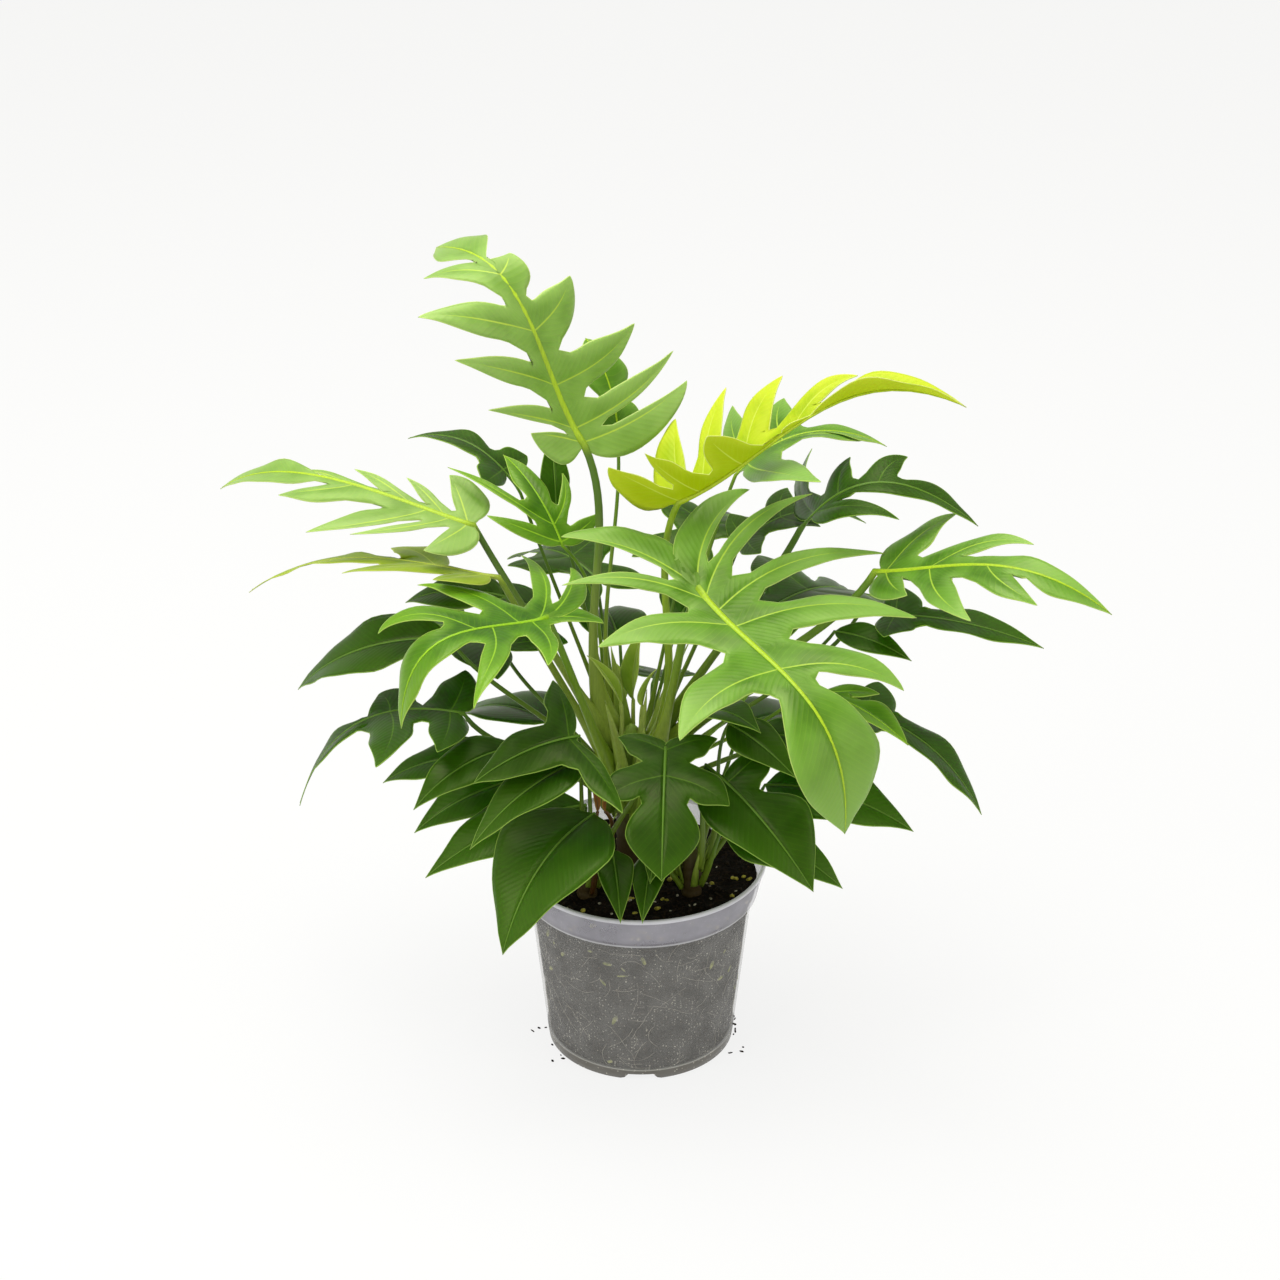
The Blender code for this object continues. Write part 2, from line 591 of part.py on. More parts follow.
def veinCurve(side, start, length, angle, bend):
    u = np.linspace(0, 1, 41)
    a = np.radians(angle - bend * u)
    step = np.stack([side * np.sin(a), np.cos(a)], 1)
    moves = (step[1:] + step[:-1]) / 2 * (length / 40)
    return np.vstack([[0, start], np.cumsum(moves, 0) + [0, start]])


def at(curve, u):
    x = np.clip(u, 0, 1) * (len(curve) - 1)
    i = np.minimum(np.floor(x).astype(int), len(curve) - 2)
    return curve[i] + (curve[i + 1] - curve[i]) * (x - i)[..., None]


def lobeMargin(curve, sinus, sign, samples, cut, gap):
    """A lobe's margin from its sinus to its tip; sign 1 is the side nearer the leaf's tip."""
    u = cut + (1 - cut) * samples
    centre = at(curve, u)
    ahead = at(curve, np.minimum(u + 0.02, 1)) - at(curve, np.maximum(u - 0.02, 0))
    ahead /= np.linalg.norm(ahead, axis=1)[:, None]
    across = np.stack([-ahead[:, 1], ahead[:, 0]], 1) * np.sign(curve[-1, 0])
    start = at(curve, np.array([cut]))[0]
    reach = sinus - start
    full = abs(reach.dot(across[0]))
    width = full * (1 - gap)
    taper = (1 + lobeBulge * np.sin(pi * np.minimum(samples * 1.15, 1))) * (1 - samples**1.9) ** lobeTip
    length = np.linalg.norm(np.diff(curve, axis=0), axis=1).sum() * (1 - cut)
    corner = max(np.linalg.norm(reach) * gap * 1.6 / length, 1e-3)
    rounding = 1 - np.sqrt(1 - (1 - np.minimum(samples / corner, 1)) ** 2)
    margin = centre + sign * across * (width * taper + (full - width) * rounding)[:, None]
    return margin + ahead * (reach.dot(ahead[0]) * rounding * (1 - samples))[:, None]


def halfBlade(leaf, side, full):
    """Margin of one half from the stalk to the tip, and its vein lines."""
    rows = leaf.get("left" if side < 0 else "right", ())
    depth, gap = leaf.get("cut", sinusDepth), leaf.get("gap", lobeGap)
    starts = [row[0] / 100 * full for row in rows]
    curves = [veinCurve(side, m, row[2] / 100 * full, row[1], row[3]) for m, row in zip(starts, rows)]
    margin, veins = [], []
    end = np.array([0.0, 0.0])
    cut = 0.0
    if rows:
        spacing = (starts[-1] - starts[0]) / (len(rows) - 1) if len(rows) > 1 else 0.28 * full
        last = rows[-1]
        nextStart = min(starts[-1] + spacing, 0.93 * full)
        nextCurve = veinCurve(side, nextStart, last[2] * 0.8 / 100 * full, last[1] * 0.8, last[3])
        allCurves = curves + [nextCurve]
        cutAt = np.array([depth])
        ends = [(at(a, cutAt)[0] + at(b, cutAt)[0]) / 2 for a, b in zip(allCurves, allCurves[1:])]
        up, down = np.array([0.10, 0.45, 0.78]), np.array([0.78, 0.45, 0.10])
        for k, curve in enumerate(curves):
            if k == 0:
                u = np.array([0.12, 0.4, 0.75])
                ahead = unit(curve[-1] - curve[0])
                across = np.array([-ahead[1], ahead[0]]) * side
                width = outerLobeWidth * full * np.sqrt(1 - (1 - np.minimum(u / 0.45, 1)) ** 2)
                width *= (1 - u**2.2) ** lobeTip
                margin += list(at(curve, u) - across * width[:, None])
            else:
                margin += list(lobeMargin(curve, ends[k - 1], -1, up, depth, gap))
            margin.append(curve[-1])
            margin += list(lobeMargin(curve, ends[k], 1, down, depth, gap))
            margin.append(ends[k])
            veins.append(at(curve, np.array([0, depth * 0.6, depth, 0.72])))
        end = ends[-1]
        cut = (starts[-1] + nextStart) / 2
    t = np.array([0.12, 0.3, 0.5, 0.7, 0.87])
    narrow = abs(end[0]) * (1 - gap * 0.8) / (leaf["width"] * full)
    rise = np.sin(np.minimum(t / leaf["peak"], 1) * pi / 2)
    rise = narrow + (1 - narrow) * rise if rows else rise**0.75
    fall = 1 - np.clip((t - leaf["peak"]) / (1 - leaf["peak"]), 0, 1) ** 1.6
    x = leaf["width"] * full * rise * fall**1.15
    margin += list(np.stack([side * x, end[1] + (full - end[1]) * t], 1))
    return margin, veins, cut


def triangulate(points, edges, count):
    """Triangles inside the first count points, with no inner edge from margin to margin."""
    points = list(points)
    for again in range(6):
        result = delaunay_2d_cdt([Vector(p) for p in points], edges, [list(range(count))], 1, 1e-4)
        flat = np.array([tuple(v) for v in result[0]])
        triangles = [tuple(f) for f in result[2]]
        uses = {}
        for f in triangles:
            for a, b in zip(f, f[1:] + f[:1]):
                uses[frozenset((a, b))] = uses.get(frozenset((a, b)), 0) + 1
        rim = {i for pair, n in uses.items() if n == 1 for i in pair}
        across = [tuple(pair) for pair, n in uses.items() if n > 1 and pair <= rim]
        if not across:
            break
        points += [(flat[a] + flat[b]) / 2 for a, b in across]
    return flat, triangles, rim


def makeBlade(name, leaf, colour):
    full = midribArc(leaf)[2][-1]
    left, leftVeins, leftCut = halfBlade(leaf, -1, full)
    right, rightVeins, rightCut = halfBlade(leaf, 1, full)
    loop = [np.array([0, 0])] + right + [np.array([0, full])] + left[::-1]
    points = list(loop)
    edges = [(i, (i + 1) % len(loop)) for i in range(len(loop))]
    ribStops = sorted({round(v[0][1], 2) for v in leftVeins + rightVeins if v[0][1] > 1})
    ribStops = ribStops + [full * t for t in (0.7, 0.88) if not ribStops or full * t > ribStops[-1] + full * 0.08]
    ribStops = ribStops if len(ribStops) > 2 else sorted(ribStops + [full * 0.25, full * 0.5])
    before = 0
    for y in ribStops:
        points.append(np.array([0, y]))
        edges.append((before, len(points) - 1))
        before = len(points) - 1
    edges.append((before, len(right) + 1))
    for vein in leftVeins + rightVeins:
        first = len(points)
        points += list(vein[1:])
        edges += [(i, i + 1) for i in range(first, len(points) - 1)]
    flat, triangles, rim = triangulate(points, edges, len(loop))
    inner = np.array([i not in rim for i in range(len(flat))])
    onRib = np.abs(flat[:, 0]) < 0.01
    deep = np.where(onRib, leafThickness / 2 + ribDepth * (1 - 0.8 * flat[:, 1] / full), leafThickness / 2)
    top = place(leaf, flat, np.where(inner, leafThickness / 2, 0))
    bottom = place(leaf, flat, np.where(inner, -deep, 0))
    n = len(flat)
    index = np.where(inner, np.arange(n) + n, np.arange(n))
    faces = triangles + [tuple(index[i] for i in f[::-1]) for f in triangles]
    return makeObject(name, np.vstack([top, bottom]), faces, colour), full


def makeLeaf(name, leaf):
    shoot = shoots[leaf["shoot"]]
    bearing = radians(leaf["foot"][0])
    outward = np.array((cos(bearing), sin(bearing), 0))
    axis = np.array((shoot["at"][0], shoot["at"][1], soilTop))
    stalk = leaf["stalk"]
    foot = axis + outward * (shoot["radius"] + clearance + 0.9 * stalk) + (0, 0, leaf["foot"][1])
    base = np.array(leaf["base"], float) + (0, 0, soilTop)
    far = np.linalg.norm(base - foot)
    away = unit((base - axis) * (1, 1, 0))
    sway = np.cross((0, 0, 1), away) * leaf["sway"]
    bend1 = foot + unit(0.5 * outward + (0, 0, 1)) * 0.35 * far + sway
    bend2 = base - unit(0.45 * away + (0, 0, 0.9)) * 0.3 * far + sway
    t = np.linspace(0, 1, 7)[:, None]
    path = (1 - t) ** 3 * foot + 3 * (1 - t) ** 2 * t * bend1 + 3 * (1 - t) * t**2 * bend2 + t**3 * base
    kind = "sheath" if name.startswith("sheath") else "leaf"
    blade, full = makeBlade(name, leaf, kind)
    under = place(leaf, [(0, full * 0.06), (0, full * 0.14)], [-stalk * 0.35, -stalk * 0.2])
    radii = list(np.linspace(stalk, stalk * stalkTaper, 7)) + [stalk * 0.55, stalk * 0.35]
    combine(blade, makeObject("stalk_" + name, *tube(np.vstack([path, under]), radii, stalkSides)), "UNION")


clearScene()
makePot()
makeSoil()
makeShoots()
for leafName, leafRow in leaves.items():
    makeLeaf(leafName, leafRow)
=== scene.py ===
import random
from math import cos, exp, pi, radians, sin

import bmesh
import bpy
import numpy as np
from mathutils import Matrix, Vector, noise


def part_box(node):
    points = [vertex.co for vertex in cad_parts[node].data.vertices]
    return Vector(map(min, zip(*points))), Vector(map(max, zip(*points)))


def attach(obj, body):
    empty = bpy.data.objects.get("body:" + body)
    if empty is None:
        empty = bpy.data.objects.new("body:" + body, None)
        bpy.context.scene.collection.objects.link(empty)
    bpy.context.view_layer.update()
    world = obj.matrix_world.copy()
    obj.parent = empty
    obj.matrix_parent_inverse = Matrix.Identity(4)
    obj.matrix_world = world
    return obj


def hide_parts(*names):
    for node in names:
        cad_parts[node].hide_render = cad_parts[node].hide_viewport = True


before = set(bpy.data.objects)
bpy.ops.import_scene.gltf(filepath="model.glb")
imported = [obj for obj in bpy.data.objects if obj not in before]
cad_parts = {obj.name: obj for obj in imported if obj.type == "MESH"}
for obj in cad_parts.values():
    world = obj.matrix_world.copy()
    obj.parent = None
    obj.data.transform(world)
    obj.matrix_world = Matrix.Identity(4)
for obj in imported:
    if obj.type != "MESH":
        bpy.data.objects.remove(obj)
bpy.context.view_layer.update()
scene = bpy.context.scene
mm = 0.001

print("camera, light and floor")

cameraValues = {"place": (-0.0005, -1.514, 1.042), "tilt": 63.9, "lens": 73.1, "sensor": 36}
lightValues = {
    "top": {"place": (-0.3, 0.1, 2.3), "size": 2.0, "watts": 44},
    "left": {"place": (-1.9, -1.5, 1.7), "size": 1.5, "watts": 22},
    "right": {"place": (2.0, -1.0, 1.3), "size": 1.4, "watts": 8},
}
studioValues = {"aim": 0.3, "skyColour": "#FFFDF2", "sky": 0.55, "floorSize": 40, "floorDrop": 0.0002,
                "floorColour": "#626260", "floorGlow": 0.83}


def linear(text, alpha=1.0):
    values = [int(text[i:i + 2], 16) / 255 for i in (1, 3, 5)]
    return tuple(v / 12.92 if v <= 0.04045 else ((v + 0.055) / 1.055) ** 2.4 for v in values) + (alpha,)


def addNode(tree, kind, settings=None, links=None):
    node = tree.nodes.new(kind)
    for name, value in (settings or {}).items():
        if isinstance(name, str) and hasattr(node, name):
            setattr(node, name, value)
        else:
            node.inputs[name].default_value = value
    for name, socket in (links or {}).items():
        tree.links.new(socket, node.inputs[name])
    return node


def newMaterial(name):
    material = bpy.data.materials.new(name)
    material.use_nodes = True
    tree = material.node_tree
    tree.nodes.clear()
    return material, tree


def finishMaterial(tree, settings, links):
    shader = addNode(tree, "ShaderNodeBsdfPrincipled", settings, links)
    addNode(tree, "ShaderNodeOutputMaterial", None, {"Surface": shader.outputs[0]})


def newObject(name, bm, materials, unit=mm):
    bmesh.ops.scale(bm, vec=(unit, unit, unit), verts=bm.verts)
    mesh = bpy.data.meshes.new(name)
    bm.to_mesh(mesh)
    bm.free()
    for material in materials:
        mesh.materials.append(material)
    made = bpy.data.objects.new(name, mesh)
    scene.collection.objects.link(made)
    return made


def addPiece(name, bm, materials, node):
    piece = newObject(name, bm, materials)
    piece.data.shade_smooth()
    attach(piece, "root")
    if node:
        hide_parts(node)


camera = bpy.data.objects.new("camera", bpy.data.cameras.new("camera"))
camera.location = cameraValues["place"]
camera.rotation_euler = (radians(cameraValues["tilt"]), 0, 0)
camera.data.lens = cameraValues["lens"]
camera.data.sensor_width = cameraValues["sensor"]
scene.collection.objects.link(camera)
scene.camera = camera
scene.view_settings.view_transform = "Standard"

for name, values in lightValues.items():
    lamp = bpy.data.objects.new(name, bpy.data.lights.new(name, "AREA"))
    lamp.data.shape = "DISK"
    lamp.data.size = values["size"]
    lamp.data.energy = values["watts"]
    lamp.location = values["place"]
    aim = Vector((0, 0, studioValues["aim"])) - lamp.location
    lamp.rotation_euler = aim.to_track_quat("-Z", "Y").to_euler()
    scene.collection.objects.link(lamp)

scene.world = bpy.data.worlds.new("paleStudio")
scene.world.use_nodes = True
background = scene.world.node_tree.nodes["Background"]
background.inputs["Color"].default_value = linear(studioValues["skyColour"])
background.inputs["Strength"].default_value = studioValues["sky"]

# Backdrop paper: smooth, matt and evenly lit.
paper, tree = newMaterial("studioPaper")
finishMaterial(tree, {"Base Color": linear(studioValues["floorColour"]), "Roughness": 0.9,
                      "Specular IOR Level": 0.1, "Emission Color": linear("#FFFFFF"),
                      "Emission Strength": studioValues["floorGlow"]}, {})
bm = bmesh.new()
bmesh.ops.create_grid(bm, x_segments=1, y_segments=1, size=studioValues["floorSize"] / 2)
floor = newObject("floor", bm, [paper], 1)
floor.location.z = -studioValues["floorDrop"]

print("leaf materials")

# Fresh philodendron leaf: a waxed cuticle over a firm blade. Even satin gloss, pale veins, a thin pale
# margin, fine side veins about 5 mm apart, and a paler, duller underside.
# edge is the paler green painted on the lobe ends as painted light and shade, and also used for the band along
# the margin
leafTones = {
    "dark": {"deep": "#1C3702", "light": "#2A4A04", "edge": "#355808", "vein": "#5E8420",
             "margin": "#8FB04A", "under": "#55742A", "roughness": 0.38, "gloss": 0.26, "veinFade": 0.45},
    "mid": {"deep": "#3E6A0A", "light": "#56861A", "edge": "#80AA48", "vein": "#A8C83C",
            "margin": "#AFCB66", "under": "#86A848", "roughness": 0.36, "gloss": 0.45, "veinFade": 0.8},
    "sage": {"deep": "#688E36", "light": "#7EA448", "edge": "#92B45E", "vein": "#B4CE44",
             "margin": "#BCD478", "under": "#98B45C", "roughness": 0.36, "gloss": 0.45, "veinFade": 0.8},
    "bright": {"deep": "#2A5600", "light": "#427402", "edge": "#76A428", "vein": "#96C428",
               "margin": "#ABCC58", "under": "#7CA42C", "roughness": 0.34, "gloss": 0.42, "veinFade": 0.75},
    "olive": {"deep": "#6A8412", "light": "#889E2C", "edge": "#97AC38", "vein": "#AFC044",
              "margin": "#B8C65C", "under": "#8A9E24", "roughness": 0.42, "gloss": 0.25, "veinFade": 0.75},
    "young": {"deep": "#98B40A", "light": "#B4C820", "edge": "#C6D630", "vein": "#CFE05C",
              "margin": "#D6E278", "under": "#A8BA00", "roughness": 0.40, "gloss": 0.3, "veinFade": 0.65},
    "sheath": {"deep": "#6E8C1C", "light": "#8EA638", "edge": "#9CB248", "vein": "#A6BA54",
               "margin": "#B4C468", "under": "#8AA238", "roughness": 0.45, "gloss": 0.25, "veinFade": 0.4},
    "dry": {"deep": "#4E2A10", "light": "#7A4C20", "edge": "#966430", "vein": "#5E3818",
            "margin": "#A07C40", "under": "#6A4018", "roughness": 0.7, "gloss": 0.2, "veinFade": 0.5},
}
sideVeins = {"spacing": 5.0, "forward": -1.15}  # mm apart, and how far forwards they run for each mm outwards
smoothFade = ("From Min", "From Max", "To Min", "To Max")


def paint(tree, body, layers):
    # Colours laid over a body, each with its share. With four more numbers the share follows a value instead:
    # where it starts and stops changing, and the share at each.
    for colour, share, *fade in layers:
        if fade:
            limits = dict(zip(smoothFade, fade))
            share = addNode(tree, "ShaderNodeMapRange", {"interpolation_type": "SMOOTHSTEP", **limits},
                            {"Value": share}).outputs[0]
        mix = addNode(tree, "ShaderNodeMix", {"data_type": "RGBA", 7: linear(colour)}, {0: share})
        if isinstance(body, str):
            mix.inputs[6].default_value = linear(body)
        else:
            tree.links.new(body, mix.inputs[6])
        body = mix.outputs[2]
    return body


def leafMaterial(name, tone, underside):
    values = leafTones[tone]
    material, tree = newMaterial(name)
    along, across, vein, margin = [
        addNode(tree, "ShaderNodeAttribute", {"attribute_name": text}).outputs["Fac"]
        for text in ("alongMm", "acrossMm", "veinMm", "marginMm")]
    place = addNode(tree, "ShaderNodeTexCoord").outputs["Object"]
    # cloudy light and dark green, patches about 20 mm across, over a grain about 1 mm across
    clouds, grain = [
        addNode(tree, "ShaderNodeTexNoise", {"Scale": scale, "Detail": detail}, {"Vector": place}).outputs["Fac"]
        for scale, detail in ((50.0, 3.0), (900.0, 2.0))]
    # side veins leave the main vein of each lobe forwards
    slope = addNode(tree, "ShaderNodeMath", {"operation": "ABSOLUTE"}, {0: across}).outputs[0]
    slope = addNode(tree, "ShaderNodeMath", {"operation": "MULTIPLY_ADD", 1: sideVeins["forward"]},
                    {0: slope, 2: along}).outputs[0]
    turns = addNode(tree, "ShaderNodeMath", {"operation": "MULTIPLY", 1: 2 * pi / sideVeins["spacing"]},
                    {0: slope}).outputs[0]
    ripple = addNode(tree, "ShaderNodeMath", {"operation": "SINE"}, {0: turns}).outputs[0]
    body = paint(tree, values["under" if underside else "deep"], (
        (values["light"], clouds, 0.3, 0.7, 0.0, 0.3 if underside else 1.0),
        (values["edge"], along, 12.0, 95.0, 0.0, 0.85),  # painted light and shade: paler towards the ends of the lobes, darker near the midrib
        (values["edge"], margin, 0.5, 9.0, 0.45, 0.0),  # and paler along the margin
        (values["vein"], ripple, 0.8, 1.0, 0.0, 0.07),
        (values["vein"], vein, 0.25, 0.75, values["veinFade"], 0.0),
        (values["margin"], margin, 0.22, 0.6, 0.85, 0.0),
    ))
    rough = values["roughness"] + (0.14 if underside else 0.0)
    limits = dict(zip(smoothFade, (0.2, 0.8, rough - 0.05, rough + 0.07)))
    rough = addNode(tree, "ShaderNodeMapRange", {"interpolation_type": "SMOOTHSTEP", **limits},
                    {"Value": clouds}).outputs[0]
    relief = addNode(tree, "ShaderNodeMath", {"operation": "MULTIPLY_ADD", 1: 0.25},
                     {0: grain, 2: ripple}).outputs[0]
    bump = addNode(tree, "ShaderNodeBump", {"Strength": 0.10, "Distance": 0.0003},
                   {"Height": relief}).outputs[0]
    finishMaterial(tree, {"Subsurface Weight": 0.12, "Subsurface Scale": 0.004,
                          "Subsurface Radius": (0.5, 1.0, 0.15), "Specular IOR Level": values["gloss"],
                          "Specular Tint": linear("#FFFFC0")},
                   {"Base Color": body, "Roughness": rough, "Normal": bump})
    return material


# Living leaf stalk: smooth, firm and waxed, paler at the shoot and yellow-green where it becomes the midrib.
stalkTones = {
    "dark": {"low": "#6C8420", "high": "#4E7016", "rib": "#5C8220"},
    "mid": {"low": "#8CA234", "high": "#668A20", "rib": "#AACA20"},
    "sage": {"low": "#98AC44", "high": "#557428", "rib": "#B2D02C"},
    "bright": {"low": "#86A42C", "high": "#6F9620", "rib": "#90C014"},
    "olive": {"low": "#869C30", "high": "#748C20", "rib": "#A6B63C"},
    "young": {"low": "#90AC30", "high": "#8CAA1C", "rib": "#B4C820"},
    "sheath": {"low": "#84A030", "high": "#A4B654", "rib": "#A4B654"},
    "dry": {"low": "#4E2A10", "high": "#5E3818", "rib": "#5E3818"},
}


def stalkMaterial(name, tone):
    values = stalkTones[tone]
    material, tree = newMaterial(name)
    ribness = addNode(tree, "ShaderNodeAttribute", {"attribute_name": "ribness"}).outputs["Fac"]
    place = addNode(tree, "ShaderNodeTexCoord").outputs["Object"]
    # lengthwise streaks about 1 mm wide
    stretched = addNode(tree, "ShaderNodeMapping", {"Scale": (900.0, 900.0, 60.0)},
                        {"Vector": place}).outputs[0]
    streaks = addNode(tree, "ShaderNodeTexNoise", {"Scale": 1.0, "Detail": 2.0},
                      {"Vector": stretched}).outputs["Fac"]
    body = paint(tree, values["low"], (
        (values["high"], ribness, -0.9, -0.1, 0.0, 1.0),
        (values["rib"], ribness, -0.05, 0.05, 0.0, 1.0),
        ("#4E6A26", streaks, 0.35, 0.7, 0.0, 0.25),
    ))
    bump = addNode(tree, "ShaderNodeBump", {"Strength": 0.15, "Distance": 0.0003},
                   {"Height": streaks}).outputs[0]
    finishMaterial(tree, {"Roughness": 0.4, "Specular IOR Level": 0.3, "Subsurface Weight": 0.1,
                          "Subsurface Scale": 0.003, "Subsurface Radius": (0.6, 1.0, 0.2)},
                   {"Base Color": body, "Normal": bump})
    return material


leafTops = {tone: leafMaterial("waxedLeaf_" + tone, tone, False) for tone in leafTones}
leafUnders = {tone: leafMaterial("leafUnderside_" + tone, tone, True) for tone in leafTones}
stalks = {tone: stalkMaterial("leafStalk_" + tone, tone) for tone in stalkTones}

print("leaves")

shoots = {
    "main": {"at": (-6, 14), "radius": 11.0, "height": 106},
    "left": {"at": (-36, -26), "radius": 7.0, "height": 42},
    "right": {"at": (34, -24), "radius": 7.0, "height": 34},
}
# lengths in mm; the shape values are shares of a lobe's length or width
bladeValues = {
    "soilTop": 125.0, "lobeBulge": 0.35, "lobeTip": 0.8, "outerWidth": 0.095, "lobeSag": 0.14, "cup": 0.10,
    "innerRows": 6, "outerRows": 15, "halfColumns": 6, "tipRows": 20, "thickness": 0.45, "lap": 0.25,
    "groove": 0.9, "grooveWidth": 2.2, "wave": 1.2, "waveLengths": (10, 5.7),
}
stalkValues = {
    "sides": 10, "rings": 22, "ribRings": 18, "ribWidth": 0.0125, "ribEnd": 0.3, "gap": 0.3, "taper": 0.25,
    "flare": {"main": 1.9, "left": 0.7, "right": 0.7}, "flareLength": 34.0, "flareDepth": 0.3,
}


def unit(v):
    v = np.asarray(v, float)
    return v / np.linalg.norm(v)


def midribArc(leaf):
    s = np.linspace(0, 1, 81)
    x = np.linalg.norm(np.subtract(leaf["tip"], leaf["base"])) * s
    z = leaf["bow"] * 4 * s * (1 - s) * (1 + leaf["skew"] * (s - 0.5) * 2)
    return x, z, np.concatenate([[0], np.cumsum(np.hypot(np.diff(x), np.diff(z)))])


def leafAxes(leaf):
    along = unit(np.subtract(leaf["tip"], leaf["base"]))
    upright = unit(np.array((0, 0, 1.0)) - along[2] * along)
    roll = radians(leaf["roll"])
    normal = cos(roll) * upright + sin(roll) * np.cross(along, upright)
    return along, normal, np.cross(along, normal)


def place(leaf, flat, lift):
    # blade coordinates in mm (right, along the midrib, off the face) to a place in the plant
    flat = np.asarray(flat, float)
    right, y = flat[..., 0], flat[..., 1]
    xs, zs, lengths = midribArc(leaf)
    full = lengths[-1]
    inside = np.clip(y, 0, full)
    before, after = np.maximum(inside - full / 200, 0), np.minimum(inside + full / 200, full)
    tx = np.interp(after, lengths, xs) - np.interp(before, lengths, xs)
    tz = np.interp(after, lengths, zs) - np.interp(before, lengths, zs)
    size = np.hypot(tx, tz)
    tx, tz = tx / size, tz / size
    px = np.interp(inside, lengths, xs) + tx * (y - inside)
    pz = np.interp(inside, lengths, zs) + tz * (y - inside)
    along, normal, side = leafAxes(leaf)
    fold = np.radians(np.where(right < 0, leaf["fold"][0], leaf["fold"][1]))
    height = np.abs(right) * np.sin(fold) - leaf["droop"] * right**2 / full
    face = tx[..., None] * normal - tz[..., None] * along
    points = np.array(leaf["base"], float) + (0, 0, bladeValues["soilTop"])
    points = points + px[..., None] * along + pz[..., None] * normal
    points = points + (right * np.cos(fold))[..., None] * side + height[..., None] * face
    return points + np.asarray(lift)[..., None] * face


def veinCurve(side, start, length, angle, bend):
    a = np.radians(angle - bend * np.linspace(0, 1, 41))
    step = np.stack([side * np.sin(a), np.cos(a)], 1)
    moves = (step[1:] + step[:-1]) / 2 * (length / 40)
    return np.vstack([[0, start], np.cumsum(moves, 0) + [0, start]])


def at(curve, u):
    x = np.clip(u, 0, 1) * (len(curve) - 1)
    i = np.minimum(np.floor(x).astype(int), len(curve) - 2)
    return curve[i] + (curve[i + 1] - curve[i]) * (x - i)[..., None]


def aheadAcross(curve, u, side):
    ahead = at(curve, np.minimum(u + 0.02, 1)) - at(curve, np.maximum(u - 0.02, 0))
    ahead /= np.linalg.norm(ahead, axis=1)[:, None]
    return ahead, np.stack([-ahead[:, 1], ahead[:, 0]], 1) * side


def lobeMargin(curve, side, sinus, sign, samples, cut, gap):
    # a lobe's margin from its sinus to its tip; sign 1 is the side nearer the leaf's tip
    v = bladeValues
    u = cut + (1 - cut) * samples
    ahead, across = aheadAcross(curve, u, side)
    reach = sinus - at(curve, np.array([cut]))[0]
    full = abs(reach.dot(across[0]))
    width = full * (1 - gap)
    taper = 1 + v["lobeBulge"] * np.sin(pi * np.minimum(samples * 1.15, 1))
    taper = taper * (1 - samples**1.9) ** v["lobeTip"]
    length = np.linalg.norm(np.diff(curve, axis=0), axis=1).sum() * (1 - cut)
    corner = max(np.linalg.norm(reach) * gap * 1.6 / length, 1e-3)
    rounding = 1 - np.sqrt(1 - (1 - np.minimum(samples / corner, 1)) ** 2)
    margin = at(curve, u) + sign * across * (width * taper + (full - width) * rounding)[:, None]
    return margin + ahead * (reach.dot(ahead[0]) * rounding * (1 - samples))[:, None]


